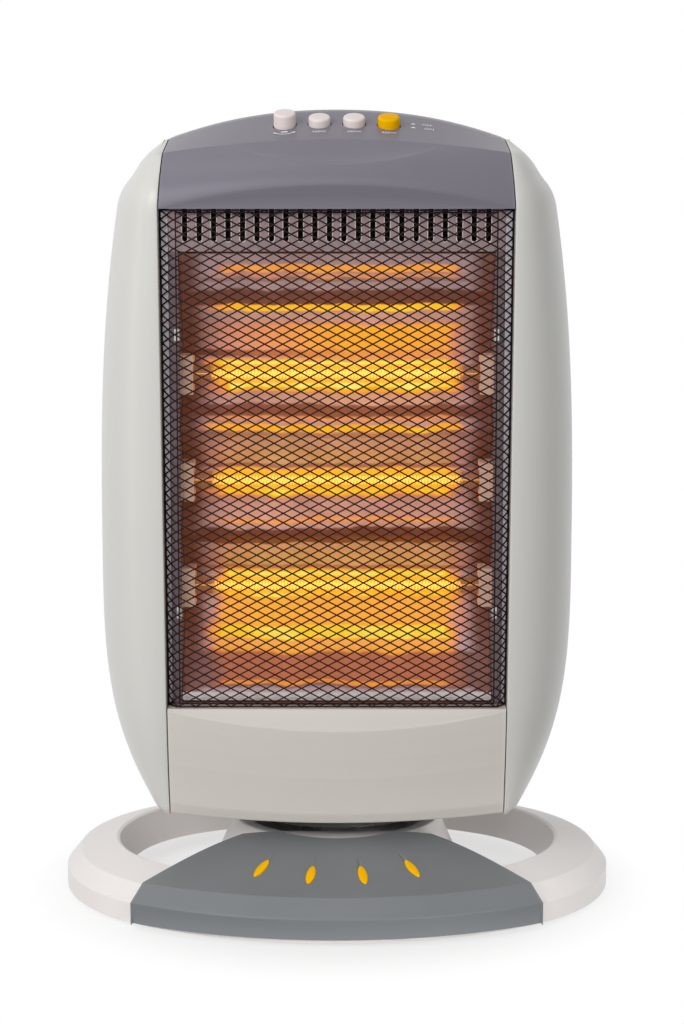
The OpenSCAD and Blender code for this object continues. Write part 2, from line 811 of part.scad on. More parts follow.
function top_column(u) =
    let (
        m = 1 - u * u,
        fall = crown * pow(abs(u), crown_power),
        x_scoop = u * seam_half_high / scoop_half,
        a = [-(front_reach + front_bulge * m), top_edge],
        b = [-(front_reach + (front_bulge + crescent_push) * m), top_edge + 0.6 + crescent_rise * m],
        d = [-panel_front_reach, panel_front_height - panel_edge_drop * u * u],
        e = [-ridge_reach, top_height - 1.2 - fall],
        c_z = d[1] - 2.5 - max(0, 1 - x_scoop * x_scoop) * (scoop_depth - 2.5),
        t_c = (c_z - b[1]) / (d[1] - b[1]),
        c = [b[0] + (d[0] - b[0]) * pow(t_c, 2.2), c_z],
        hollow = max(0, 1 - x_scoop * x_scoop)
    ) concat(
        [a, (a + b) / 2],
        [for (k = [0 : face_steps])
            let (t = t_c * k / face_steps) [b[0] + (d[0] - b[0]) * pow(t, 2.2), b[1] + (d[1] - b[1]) * t]],
        [for (k = [1 : scoop_steps])
            let (t = k / scoop_steps, back = pow(t, 1 - 0.45 * hollow)) [c[0] + (d[0] - c[0]) * back, c[1] + (d[1] - c[1]) * t]],
        [for (k = [1 : panel_steps]) d + (e - d) * k / panel_steps],
        [[-(ridge_reach - 8), top_height - 0.1 - fall], [rear_seam - seam_gap, top_height - fall]]
    );

function top_grid() = [
    for (i = [0 : top_cols])
        let (u = 1 - 2 * i / top_cols)
            [for (p = top_column(u)) [u * (seam_half(min(p[1], side_top)) - seam_gap / 2), p[0], p[1]]]
];

panel_tilt = atan2(top_height - 1.2 - panel_front_height, panel_front_reach - ridge_reach);
button_back = 23;
function button_x(i) = (i - 2.5) * button_pitch;
function panel_drop(x) = let (u = abs(x) / seam_half_high)
    (panel_edge_drop * u * u + crown * pow(u, crown_power)) / 2;

// Places a child on the button panel, its Z axis square to the panel
module on_panel(x) {
    translate([x, -panel_front_reach + button_back, panel_front_height + button_back * tan(panel_tilt)])
        rotate([panel_tilt, 0, 0])
            translate([0, 0, -panel_drop(x)])
                children();
}

module top_cover() {
    color(top_grey)
        difference() {
            thick_sheet(top_grid(), shell_wall);
            for (i = [1 : 4])
                on_panel(button_x(i))
                    translate([0, 0, -shell_wall * 3]) cylinder(r = button_radius + button_clearance, h = shell_wall * 6);
        }
}

// ---- Push buttons and their switches ----
stem_radius = 3;
stem_length = 12;
cap_skirt = 5;
block_low = 34;
block_high = cap_skirt + stem_length + button_travel + panel_drop(1.5 * button_pitch) + seat_gap;

module button(i, rise, extra) {
    cap_height = button_low + extra;
    color(i == 4 ? yellow : "#F1EEEA")
        on_panel(button_x(i))
            translate([0, 0, rise]) {
                translate([0, 0, cap_height - 1])
                    cylinder(r1 = button_radius, r2 = button_radius - 0.8, h = 1);
                translate([0, 0, -cap_skirt]) cylinder(r = button_radius, h = cap_skirt + cap_height - 0.99);
                translate([0, 0, -cap_skirt - stem_length]) cylinder(r = stem_radius, h = stem_length + 1);
            }
}

module switch_block() {
    block_half = 1.5 * button_pitch + 14.5;
    block_deep = 20;
    stand_radius = 2.5;
    post_x = block_half - 3;
    color("#303236")
        on_panel(0) {
            translate([-block_half, -block_deep / 2, -block_low])
                cube([2 * block_half, block_deep, block_low - block_high + button_travel - seat_gap]);
            for (x = [-post_x, post_x])
                translate([x, 0, -block_low + joint_sink])
                    cylinder(r = stand_radius, h = block_low - shell_wall - panel_drop(x) - 2 * seat_gap - joint_sink);
        }
}

// ---- Rear cover with cooling slots ----
rear_rows = 28;
rear_cols = 24;

function rear_row(z, tuck) =
    let (
        half = outline(z) - tuck,
        reach = rear_line(z) - rear_seam - seam_gap / 2 - tuck
    ) [for (k = [0 : rear_cols])
        let (
            a = 180 * k / rear_cols,
            c = cos(a),
            s = sin(a)
        ) [half * sign(c) * pow(abs(c), 0.8), rear_seam + seam_gap / 2 + reach * pow(max(0, s), 0.8), z]];

function rear_grid() = concat(
    [rear_row(head_bottom, edge_round)],
    [rear_row(head_bottom + edge_round * 0.3, edge_round * 0.3)],
    [for (i = [0 : rear_rows]) rear_row(eased(head_bottom + edge_round, top_height - 0.1, i, rear_rows), 0)]
);

vent_rows_high = 9;
vent_rows_low = 7;
vent_pitch = 9;
vent_half = 58;
rear_slot = 4;
inlet_height = 118;
inlet_radius = 6;

module rear_cover() {
    cut_from = rear_reach * 0.6;
    color(panel_grey)
        difference() {
            thick_sheet(rear_grid(), shell_wall);
            for (k = [0 : vent_rows_high - 1], x = [-1, 1])
                translate([x * (vent_half / 2 + 3) - vent_half / 2, cut_from, 330 + k * vent_pitch])
                    cube([vent_half, rear_reach, rear_slot]);
            for (k = [0 : vent_rows_low - 1], x = [-1, 1])
                translate([x * (vent_half / 2 + 3) - vent_half / 2, cut_from, 150 + k * vent_pitch])
                    cube([vent_half, rear_reach, rear_slot]);
            translate([0, cut_from, inlet_height])
                rotate([-90, 0, 0]) cylinder(r = inlet_radius + seat_gap, h = rear_reach);
        }
}

module cord_inlet() {
    outside = rear_reach + seat_gap;
    color("#222222")
        translate([0, 0, inlet_height])
            rotate([-90, 0, 0])
                difference() {
                    union() {
                        translate([0, 0, outside - 8]) cylinder(r = inlet_radius, h = 9);
                        translate([0, 0, outside]) cylinder(r = inlet_radius + 3, h = 2);
                    }
                    translate([0, 0, outside - 10]) cylinder(r = 3.6, h = 20);
                }
}

// ---- Plate that closes the head from below ----
function plate_outline() =
    let (
        z = plate_low,
        half = outline(z) - 1.3 * shell_wall - seam_gap,
        front = seam_reach(z) - 1.3 * shell_wall - seam_gap,
        seam = seam_half(z) - seam_gap,
        step = -seam_reach(z) + grille_lip + shell_wall,
        rear = rear_line(z) - 1.3 * shell_wall - seam_gap,
        flank_points = [for (k = [0 : 12]) let (
                a = 90 * k / 12,
                y = rear_seam - (front + rear_seam) * pow(cos(a), 0.9)
            ) if (y > step + 1) [seam + (half - seam) * pow(sin(a), 0.9), y]],
        corner = flank_points[0][0] - 1
    ) concat(
        [[seam, -front], [seam, step], [corner, step]],
        flank_points,
        [for (k = [1 : 15]) let (a = 180 * k / 16, c = cos(a))
            [half * sign(c) * pow(abs(c), 0.8), rear_seam + (rear - rear_seam) * pow(sin(a), 0.8)]],
        [for (k = [len(flank_points) - 1 : -1 : 0]) [-flank_points[k][0], flank_points[k][1]]],
        [[-corner, step], [-seam, step], [-seam, -front]]
    );

module chassis_plate() {
    color("#8E8F92")
        difference() {
            translate([0, 0, plate_low]) linear_extrude(height = plate_thickness) polygon(plate_outline());
            cylinder(r = pivot_radius + 1, h = top_height);
            translate([-drive_side, drive_back, 0]) cylinder(r = shaft_radius + 1, h = top_height);
            for (a = screw_angles)
                rotate(a) translate([screw_circle, 0, 0]) cylinder(r = screw_radius + 0.1, h = top_height);
        }
}

// ---- Grille ----
grille_half = seam_half_low - seam_gap - grille_side_run;
grille_height = grille_high - grille_low;
cell_width = 2 * (grille_half - 2) / grille_columns;
cell_height = (grille_height - 4) / grille_rows;

// Diamond opening between four strands
module diamond(w, h) {
    polygon([[-w / 2, 0], [0, -h / 2], [w / 2, 0], [0, h / 2]]);
}

module grille_mesh() {
    gap_w = cell_width - 2.4 * strand;
    gap_h = cell_height - 1.9 * strand;
    side_angle = atan2(grille_side_depth, grille_side_run);
    side_length = norm([grille_side_depth, grille_side_run]);
    color("#2E1A18") {
        difference() {
            translate([-grille_half, -grille_reach, grille_low])
                cube([2 * grille_half, strand, grille_height]);
            translate([0, -grille_reach - joint_sink, grille_low + 2])
                rotate([-90, 0, 0])
                    linear_extrude(height = strand + 2 * joint_sink) {
                        for (c = [0 : grille_columns - 1], r = [0 : grille_rows - 1])
                            translate([-grille_half + 2 + (c + 0.5) * cell_width, -(r + 0.5) * cell_height])
                                diamond(gap_w, gap_h);
                        for (c = [1 : grille_columns - 1], r = [1 : grille_rows - 1])
                            translate([-grille_half + 2 + c * cell_width, -r * cell_height])
                                diamond(gap_w, gap_h);
                    }
        }
        for (side = [-1, 1])
            translate([side * (grille_half - 0.4), -grille_reach, grille_low])
                rotate(side > 0 ? side_angle : 180 - side_angle)
                    translate([0, side > 0 ? 0 : -strand, 0])
                        difference() {
                            cube([side_length, strand, grille_height]);
                            for (r = [0 : grille_rows - 1])
                                translate([1.5, -joint_sink, 3 + r * cell_height])
                                    cube([side_length - 3, strand + 1, cell_height - 2 * strand]);
                        }
    }
}

module rod(from, to, radius) {
    run = to - from;
    translate(from)
        rotate([0, acos(run[2] / norm(run)), atan2(run[1], run[0])])
            cylinder(r = radius, h = norm(run));
}

frame_half = grille_half - edge_wire_radius - 0.6;

module grille_frame() {
    y = -grille_reach + strand + edge_wire_radius;
    x = frame_half;
    low = grille_low + 2;
    high = grille_high - 2;
    corners = [[-x, y, low], [x, y, low], [x, y, high], [-x, y, high]];
    color("#2E1A18")
        for (i = [0 : 3]) {
            rod(corners[i], corners[(i + 1) % 4], edge_wire_radius);
            translate(corners[i]) sphere(r = edge_wire_radius);
        }
}

clip_heights = [186.5, 357.4];

module grille_clips() {
    clip_width = 3;
    clip_height = 7;
    clip_depth = grille_reach - strand - 2 * edge_wire_radius - chamber_reach - seat_gap;
    color("silver")
        for (side = [-1, 1], z = clip_heights)
            translate([side * frame_half - clip_width / 2, -chamber_reach - clip_depth, z])
                cube([clip_width, clip_depth, clip_height]);
}

// ---- Chamber: slotted plate, end plates, floor, shield and reflector ----
module vent_plate() {
    half = chamber_half + flange_width;
    slot_low = vent_low + 6;
    slot_length = 24;
    color("#B3A09C")
        difference() {
            translate([-half, -chamber_reach - sheet, vent_low]) cube([2 * half, sheet, vent_height]);
            for (k = [0 : slot_count - 1])
                translate([(k - (slot_count - 1) / 2) * slot_pitch, -chamber_reach - 2, slot_low + slot_width / 2]) {
                    rotate([-90, 0, 0]) cylinder(r = slot_width / 2, h = 4, $fn = 24);
                    translate([-slot_width / 2, 0, 0]) cube([slot_width, 4, slot_length]);
                }
        }
}

chamber_low = grille_low + 0.5;
vent_top = vent_low + vent_height;

module end_plate(side) {
    depth = chamber_reach - chamber_rear;
    low = chamber_low + sheet;
    tall = vent_top - low;
    color("#8A8088")
        difference() {
            union() {
                translate([side > 0 ? chamber_half : -chamber_half - sheet, -chamber_reach, low])
                    cube([sheet, depth, tall]);
                for (y = [-chamber_reach, -chamber_rear - sheet])
                    translate([side > 0 ? chamber_half : -chamber_half - flange_width, y, low])
                        cube([flange_width, sheet, tall]);
            }
            for (k = [-1 : 1])
                translate([side * chamber_half, -lamp_reach, lamp_height + k * lamp_pitch])
                    rotate([0, 90, 0]) cylinder(r = 2.5, h = 4, center = true);
        }
}

module heat_shield() {
    half = chamber_half + flange_width;
    color("#A9A9AC")
        translate([-half, -chamber_rear, chamber_low])
            cube([2 * half, sheet, vent_top - chamber_low]);
}

module deck_plate() {
    half = chamber_half + flange_width;
    color("#A9A9AC")
        translate([-half, -chamber_reach, chamber_low - sheet / 2])
            cube([2 * half, chamber_reach - chamber_rear, sheet]);
}

trough_steps = 12;
ridge_half = lamp_pitch / 2;
wing_high = vent_low - 1 - (lamp_height + lamp_pitch);
wing_low = lamp_height - lamp_pitch - (chamber_low + 1.5);
wing_reach = chamber_reach - sheet - 1;

// Profile of the reflector as [y, z] points from the lower edge to the upper edge
function reflector_line() = concat(
    [for (k = [trough_steps : -1 : 1]) let (t = k / trough_steps)
        [-reflector_back - (wing_reach - reflector_back) * t * t, lamp_height - lamp_pitch - wing_low * t]],
    [for (lamp = [-1 : 0], k = [0 : trough_steps - 1])
        let (t = k / trough_steps, s = t < 0.5 ? 2 * t : 2 - 2 * t)
            [-reflector_back - (reflector_ridge - reflector_back) * s * s, lamp_height + (lamp + t) * lamp_pitch]],
    [for (k = [0 : trough_steps]) let (t = k / trough_steps)
        [-reflector_back - (wing_reach - reflector_back) * t * t, lamp_height + lamp_pitch + wing_high * t]]
);

module reflector() {
    line = reflector_line();
    back = [for (i = [len(line) - 1 : -1 : 0]) line[i] + [sheet * 1.2, 0]];
    half = chamber_half - seat_gap;
    color("#D8C8C4")
        translate([-half, 0, 0])
            rotate([90, 0, 90])
                linear_extrude(height = 2 * half)
                    polygon(concat(line, back));
}

// ---- Lamps ----
function lamp_z(i) = lamp_height + (2 - i) * lamp_pitch;

module tube(i) {
    color("#F4E6D0", 0.4)
        translate([-tube_length / 2, -lamp_reach, lamp_z(i)])
            rotate([0, 90, 0])
                difference() {
                    cylinder(r = tube_radius, h = tube_length);
                    translate([0, 0, -joint_sink]) cylinder(r = tube_radius - tube_wall, h = tube_length + 1);
                }
}

coil_rings = 8;
coil_sides = 6;
coil_lead = (tube_length - coil_length) / 2;

// Path of the coil as [x, y, z, turn angle]: a straight lead, the turns, a straight lead
function coil_path() = concat(
    [for (k = [0 : 1]) [-coil_length / 2 - coil_lead + k * (coil_lead - 1), 0, 0, 0]],
    [for (k = [0 : coil_turns * coil_rings])
        let (
            a = 360 * k / coil_rings,
            t = k / (coil_turns * coil_rings),
            r = coil_radius * min(1, min(k, coil_turns * coil_rings - k) / coil_rings)
        ) [coil_length * (t - 0.5), r * cos(a), r * sin(a), a]],
    [for (k = [0 : 1]) [coil_length / 2 + 1 + k * (coil_lead - 1), 0, 0, 0]]
);

function along(path, i) =
    let (
        a = path[max(i - 1, 0)],
        b = path[min(i + 1, len(path) - 1)],
        d = [b[0] - a[0], b[1] - a[1], b[2] - a[2]]
    ) d / norm(d);

function ring_points(path, i) =
    let (
        t = along(path, i),
        out = [0, cos(path[i][3]), sin(path[i][3])],
        u = cross(t, out) / norm(cross(t, out)),
        v = cross(u, t)
    ) [for (s = [0 : coil_sides - 1])
        let (a = 360 * s / coil_sides)
            [path[i][0], path[i][1], path[i][2]] + coil_wire * (cos(a) * u + sin(a) * v)];

function tube_faces(rings, sides) = concat(
    [for (i = [0 : rings - 2], s = [0 : sides - 1])
        let (n = (s + 1) % sides)
            for (f = two(i * sides + s, i * sides + n, (i + 1) * sides + n, (i + 1) * sides + s, true)) f],
    [[for (s = [0 : sides - 1]) s]],
    [[for (s = [sides - 1 : -1 : 0]) (rings - 1) * sides + s]]
);

module filament(i) {
    path = coil_path();
    rings = [for (k = [0 : len(path) - 1]) ring_points(path, k)];
    color("#FFD24A")
        translate([0, -lamp_reach, lamp_z(i)])
            polyhedron(points = flatten(rings), faces = tube_faces(len(path), coil_sides));
}

// Least gap between neighbouring turns of the coil, measured on its path
coil_gap = min([
    for (path = [coil_path()], i = [coil_rings + 2 : len(path) - 2 * coil_rings - 3])
        for (k = [coil_rings - 1 : coil_rings + 1])
            norm([path[i][0] - path[i + k][0], path[i][1] - path[i + k][1], path[i][2] - path[i + k][2]])
]) - 2 * coil_wire;
echo(coil_gap = coil_gap);

module holder(i) {
    lamp = ceil(i / 2);
    side = i % 2 == 1 ? -1 : 1;
    bore_depth = tube_length / 2 - (chamber_half - holder_width);
    color("#C9A27C")
        translate([side * (chamber_half - holder_width / 2), -lamp_reach, lamp_z(lamp)])
            difference() {
                cube([holder_width, holder_depth, holder_height], center = true);
                translate([-side * holder_width / 2, 0, 0])
                    rotate([0, 90, 0])
                        cylinder(r = tube_radius + 2 * running_clearance, h = 2 * (bore_depth + seat_gap), center = true);
            }
}

// ---- Small parts of the wiring ----
module thermal_cutout() {
    color("#4A3A34")
        translate([chamber_half + sheet, -chamber_reach / 2, vent_low - 26])
            rotate([0, 90, 0]) {
                cylinder(r = 8, h = 5);
                translate([-3, -12, 0]) cube([6, 24, 1]);
            }
}

module tilt_switch() {
    color("#26282B")
        translate([44, 8, plate_top]) {
            cube([30, 18, 24]);
            translate([-6, 4, 0]) cube([42, 10, 2]);
        }
}

module terminal_block() {
    ways = 5;
    way_pitch = 9.5;
    block_length = ways * way_pitch + 2.5;
    block_depth = 18;
    block_rise = 14;
    color("#E6DFC8")
        translate([screw_circle - 11, -screw_circle - 4, plate_top])
            difference() {
                cube([block_length, block_depth, block_rise]);
                for (k = [0 : ways - 1])
                    translate([way_pitch * (k + 0.65), block_depth / 2, block_rise * 0.43])
                        cylinder(r = 2.2, h = block_rise);
            }
}

base_ring();
base_front_cover();
insert(1);  // insert_1
insert(2);  // insert_2
insert(3);  // insert_3
insert(4);  // insert_4
rubber_feet();
pivot_tube();
thrust_washer();
pivot_nut();
turntable();
turntable_screws();
chassis_plate();
left_panel();
right_panel();
lower_panel();
top_cover();
rear_cover();
grille_mesh();
grille_frame();
grille_clips();
vent_plate();
reflector();
end_plate(-1);  // left_end_plate
end_plate(1);  // right_end_plate
heat_shield();
deck_plate();
tube(1);  // tube_1
tube(2);  // tube_2
tube(3);  // tube_3
filament(1);  // filament_1
filament(2);  // filament_2
filament(3);  // filament_3
holder(1);  // holder_1
holder(2);  // holder_2
holder(3);  // holder_3
holder(4);  // holder_4
holder(5);  // holder_5
holder(6);  // holder_6
switch_block();
thermal_cutout();
tilt_switch();
terminal_block();
swing_motor();
cord_inlet();
button(1, button_travel, 0);  // button_1
button(2, 0, 0);  // button_2
button(3, 0, 0);  // button_3
button(4, 0, yellow_extra);  // button_4
crank();
link();
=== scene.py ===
"""Free-standing halogen heater: three glowing lamp tubes behind a dark wire grille, in a head
that swings on an oval ring base. Lengths are written in millimetres and turned into metres."""

import math

import bmesh
import bpy
from mathutils import Matrix, Vector


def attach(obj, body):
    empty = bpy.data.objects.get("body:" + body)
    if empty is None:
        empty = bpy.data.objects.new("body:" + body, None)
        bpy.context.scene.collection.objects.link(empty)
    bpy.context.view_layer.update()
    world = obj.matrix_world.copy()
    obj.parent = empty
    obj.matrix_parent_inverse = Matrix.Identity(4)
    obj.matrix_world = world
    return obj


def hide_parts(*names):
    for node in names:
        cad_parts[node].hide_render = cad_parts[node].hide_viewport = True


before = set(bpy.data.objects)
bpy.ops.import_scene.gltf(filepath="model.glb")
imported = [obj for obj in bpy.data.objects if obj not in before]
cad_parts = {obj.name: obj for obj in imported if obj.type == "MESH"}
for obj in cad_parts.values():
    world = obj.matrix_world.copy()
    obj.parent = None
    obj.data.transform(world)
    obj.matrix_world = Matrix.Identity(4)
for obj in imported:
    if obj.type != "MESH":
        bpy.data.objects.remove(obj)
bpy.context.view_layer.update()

# ---- Ring base ----
# One white injection moulding: an oval ring with an upright skirt, a bevel and a sloping face,
# tied to a round hub by a flat web. It is satin, with fine moulding grain, and stands on four feet.
MM = 0.001
collection = bpy.context.scene.collection


def srgb(red, green, blue):
    """A colour written as 0-255 screen values, as the linear colour that shaders take."""
    def linear(value):
        value /= 255
        return value / 12.92 if value <= 0.04045 else ((value + 0.055) / 1.055) ** 2.4
    return (linear(red), linear(green), linear(blue), 1.0)


def new_group(name, inputs, outputs):
    """A shader node group with named sockets; gives the group and its two end nodes."""
    group = bpy.data.node_groups.new(name, "ShaderNodeTree")
    for label, kind, value in inputs:
        socket = group.interface.new_socket(label, in_out="INPUT", socket_type=kind)
        socket.default_value = value
    for label, kind in outputs:
        group.interface.new_socket(label, in_out="OUTPUT", socket_type=kind)
    return group, group.nodes.new("NodeGroupInput"), group.nodes.new("NodeGroupOutput")


def feed(tree, node, **inputs):
    """Fills inputs of a node, each named in_ and its number or label: sockets are linked, values set."""
    for key, value in inputs.items():
        label = key[3:]
        target = node.inputs[int(label) if label.isdigit() else label.replace("_", " ")]
        if isinstance(value, bpy.types.NodeSocket):
            tree.links.new(value, target)
        else:
            target.default_value = value


def add_node(tree, kind, **settings):
    """A node with its properties set and its inputs filled."""
    node = tree.nodes.new(kind)
    for key, value in settings.items():
        if key.startswith("in_"):
            feed(tree, node, **{key: value})
        else:
            setattr(node, key, value)
    return node


SIGNS = {"+": "ADD", "-": "SUBTRACT", "*": "MULTIPLY", "/": "DIVIDE", "^": "POWER",
         "max": "MAXIMUM", "abs": "ABSOLUTE"}


def calc(tree, first, sign, second=0.0, clamp=False):
    """The result of a sum whose two sides are sockets or numbers."""
    return add_node(tree, "ShaderNodeMath", operation=SIGNS[sign], use_clamp=clamp,
                    in_0=first, in_1=second).outputs[0]


COLOUR, VALUE = "NodeSocketColor", "NodeSocketFloat"

# Moulded plastic: fine grain, faint flow marks in the colour, rubbed edges and a little dust on top
tree, start, end = new_group(
    "moulded_plastic",
    [("Colour", COLOUR, (1, 1, 1, 1)), ("Gloss", VALUE, 0.4), ("Grain Size", VALUE, 900.0),
     ("Blotch", VALUE, 0.03), ("Edge Wear", VALUE, 0.1), ("Dust", VALUE, 0.03)],
    [("Base Color", COLOUR), ("Roughness", VALUE), ("Bump Height", VALUE)])
plastic_group, given = tree, start.outputs
place = add_node(tree, "ShaderNodeTexCoord").outputs["Object"]
surface = add_node(tree, "ShaderNodeNewGeometry").outputs
grain = add_node(tree, "ShaderNodeTexNoise", in_Vector=place, in_Scale=given["Grain Size"],
                 in_3=3.0, in_4=0.6)
flow = add_node(tree, "ShaderNodeTexNoise", in_Vector=place, in_2=14.0, in_3=4.0, in_4=0.55).outputs[0]
uneven = calc(tree, flow, "-", 0.5)
upward = add_node(tree, "ShaderNodeSeparateXYZ", in_0=surface["Normal"]).outputs[2]
dust_mask = calc(tree, calc(tree, calc(tree, upward, "max", 0.0), "*", flow), "*", given["Dust"])
edge = add_node(tree, "ShaderNodeMapRange", in_0=surface["Pointiness"], in_1=0.53, in_2=0.62)
wear = calc(tree, edge.outputs[0], "*", given["Edge Wear"])
shade = calc(tree, calc(tree, calc(tree, uneven, "*", given["Blotch"]), "+", 1.0), "+", wear)
tone = add_node(tree, "ShaderNodeHueSaturation", in_Color=given["Colour"], in_Value=shade)
dusty = add_node(tree, "ShaderNodeMix", data_type="RGBA", in_0=dust_mask, in_6=tone.outputs[0],
                 in_7=srgb(222, 218, 212))
rough = calc(tree, given["Gloss"], "+", calc(tree, uneven, "*", 0.12))
feed(tree, end, in_Base_Color=dusty.outputs[2], in_Roughness=calc(tree, rough, "+", dust_mask, clamp=True),
     in_Bump_Height=grain.outputs[0])


def finish(name, group, values, bump=0.0, bump_depth=0.05, **constants):
    """A material whose surface comes from a group; constants go straight onto the shader."""
    material = bpy.data.materials.new(name)
    material.use_nodes = True
    tree = material.node_tree
    shader = tree.nodes["Principled BSDF"]
    surface = add_node(tree, "ShaderNodeGroup", node_tree=group)
    for label, value in values.items():
        surface.inputs[label].default_value = value
    for output in surface.outputs:
        if output.name in shader.inputs:
            tree.links.new(output, shader.inputs[output.name])
    if bump:
        relief = add_node(tree, "ShaderNodeBump", in_Strength=bump, in_Distance=bump_depth * MM,
                          in_Height=surface.outputs["Bump Height"])
        tree.links.new(relief.outputs[0], shader.inputs["Normal"])
    for label, value in constants.items():
        shader.inputs[label.replace("_", " ")].default_value = value
    return material


def moulded(name, colour, gloss, grain, blotch, wear=0.0, dust=0.0, **settings):
    """A finish of moulded plastic, rubber, ceramic or paint."""
    values = {"Colour": colour, "Gloss": gloss, "Grain Size": grain, "Blotch": blotch, "Edge Wear": wear,
              "Dust": dust}
    return finish(name, plastic_group, values, **settings)


def soften(points, radius, steps=4, closed=False):
    """A polyline with each corner rounded off by a short curve."""
    count = len(points)
    smooth = []
    for index, here in enumerate(points):
        here = Vector(here)
        if not closed and index in (0, count - 1):
            smooth.append(tuple(here))
            continue
        before, after = Vector(points[index - 1]), Vector(points[(index + 1) % count])
        back, ahead = before - here, after - here
        start_point = here + back.normalized() * min(radius, back.length * 0.45)
        end_point = here + ahead.normalized() * min(radius, ahead.length * 0.45)
        for step in range(steps + 1):
            t = step / steps
            smooth.append(tuple((1 - t) ** 2 * start_point + 2 * t * (1 - t) * here + t ** 2 * end_point))
    return smooth


def grid_faces(rows, columns, wrap_rows=False, wrap_columns=False):
    """Quads between the points of a grid that is stored row by row."""
    faces = []
    for row in range(rows if wrap_rows else rows - 1):
        here, ahead = row * columns, (row + 1) % rows * columns
        for column in range(columns if wrap_columns else columns - 1):
            after = (column + 1) % columns
            faces.append((here + column, here + after, ahead + after, ahead + column))
    return faces


def settle(obj):
    """Bakes the modifiers into the mesh, so that later cuts and shading see the final shape."""
    graph = bpy.context.evaluated_depsgraph_get()
    graph.update()
    obj.data = bpy.data.meshes.new_from_object(obj.evaluated_get(graph))
    obj.modifiers.clear()


def shade_smooth(obj):
    """Smooth shading that keeps the edges sharper than 38 degrees."""
    obj.data.polygons.foreach_set("use_smooth", [True] * len(obj.data.polygons))
    obj.data.set_sharp_from_angle(angle=math.radians(38))
    obj.data.update()


def mesh_of(name, points, faces):
    """A mesh from points in millimetres."""
    mesh = bpy.data.meshes.new(name)
    mesh.from_pydata([(x * MM, y * MM, z * MM) for x, y, z in points], [], faces)
    return mesh


def turn_out(mesh):
    """Turns the faces of closed shapes outwards."""
    shape = bmesh.new()
    shape.from_mesh(mesh)
    bmesh.ops.recalc_face_normals(shape, faces=shape.faces)
    shape.to_mesh(mesh)
    shape.free()


def piece(name, points, faces, material, mixed_faces=True):
    """A mesh object from points in millimetres. Mixed faces are turned outwards first."""
    mesh = mesh_of(name, points, faces)
    mesh.validate()
    if mixed_faces:
        turn_out(mesh)
    mesh.materials.append(material)
    obj = bpy.data.objects.new(name, mesh)
    collection.objects.link(obj)
    shade_smooth(obj)
    return obj


def fit(obj, body, slot, *nodes):
    """Puts a finished piece on its body and hides the nodes it stands for. The slot is not used."""
    if obj.type == "MESH":
        # Wide faces lead the shading, so that moulded creases stay crisp
        flats = obj.modifiers.new("flats", "WEIGHTED_NORMAL")
        flats.keep_sharp = True
        flats.weight = 60
    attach(obj, body)
    if nodes:
        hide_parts(*nodes)


def dress(node, material):
    """Gives a carried-over node its material."""
    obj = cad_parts[node]
    obj.data.materials.clear()
    obj.data.materials.append(material)


def revolve(profile, segments, centre=(0, 0)):
    """Points and faces of a closed profile of [radius, height] turned about an upright axis."""
    points = []
    for step in range(segments):
        angle = 2 * math.pi * step / segments
        points += [(centre[0] + r * math.cos(angle), centre[1] + r * math.sin(angle), z) for r, z in profile]
    return points, grid_faces(segments, len(profile), wrap_rows=True, wrap_columns=True)


def merge(*parts):
    """Several sets of points and faces as one."""
    points, faces = [], []
    for more_points, more_faces in parts:
        faces += [tuple(index + len(points) for index in face) for face in more_faces]
        points += more_points
    return points, faces


def extruded(outline, low, high):
    """A closed prism over a flat outline."""
    count = len(outline)
    points = [(x, y, low) for x, y in outline] + [(x, y, high) for x, y in outline]
    sides = [(i, (i + 1) % count, count + (i + 1) % count, count + i) for i in range(count)]
    return points, sides + [tuple(range(count))[::-1], tuple(range(count, 2 * count))]


def oblong(half, low, high):
    """The outline of a rectangle that lies evenly to both sides of the middle."""
    return [(-half, low), (half, low), (half, high), (-half, high)]


ring_end_radius, ring_half, ring_deep, ring_shift = 125.0, 175.0, 139.0, 1.0
end_offset = ring_half - ring_end_radius
side_radius = (end_offset ** 2 + ring_deep ** 2 - ring_end_radius ** 2) / (2 * (ring_deep - ring_end_radius))
side_offset = side_radius - ring_deep
arc_split = math.atan2(side_offset, end_offset)
# Outline of the ring's section as [distance inwards, height], from the skirt's foot over the bevel
# and the sloping face, and back along the underside
ring_outline = [(0, 2), (0, 14.5), (8.6, 25), (32, 31.5), (34, 30.7), (41, 10.5), (38.6, 10.5),
                (31.2, 28.1), (9.6, 22.6), (2.4, 13.6), (2.4, 2)]
ring_profile = soften(ring_outline, 0.5, closed=True)


def oval_stations(end_steps, side_steps):
    """Centre, radius and direction of stations round the oval."""
    stations = []
    for turn in (0, math.pi):
        sign = 1 if turn == 0 else -1
        for step in range(end_steps):
            angle = -arc_split + 2 * arc_split * step / end_steps
            stations.append(((sign * end_offset, ring_shift), ring_end_radius, angle + turn))
        for step in range(side_steps):
            angle = arc_split + (math.pi - 2 * arc_split) * step / side_steps
            stations.append(((0, ring_shift - sign * side_offset), side_radius, angle + turn))
    return stations


ring_stations = oval_stations(72, 44)
ring_points = [(x + (radius - inset) * math.cos(angle), y + (radius - inset) * math.sin(angle), z)
               for (x, y), radius, angle in ring_stations for inset, z in ring_profile]
ring_faces = grid_faces(len(ring_stations), len(ring_profile), wrap_rows=True, wrap_columns=True)

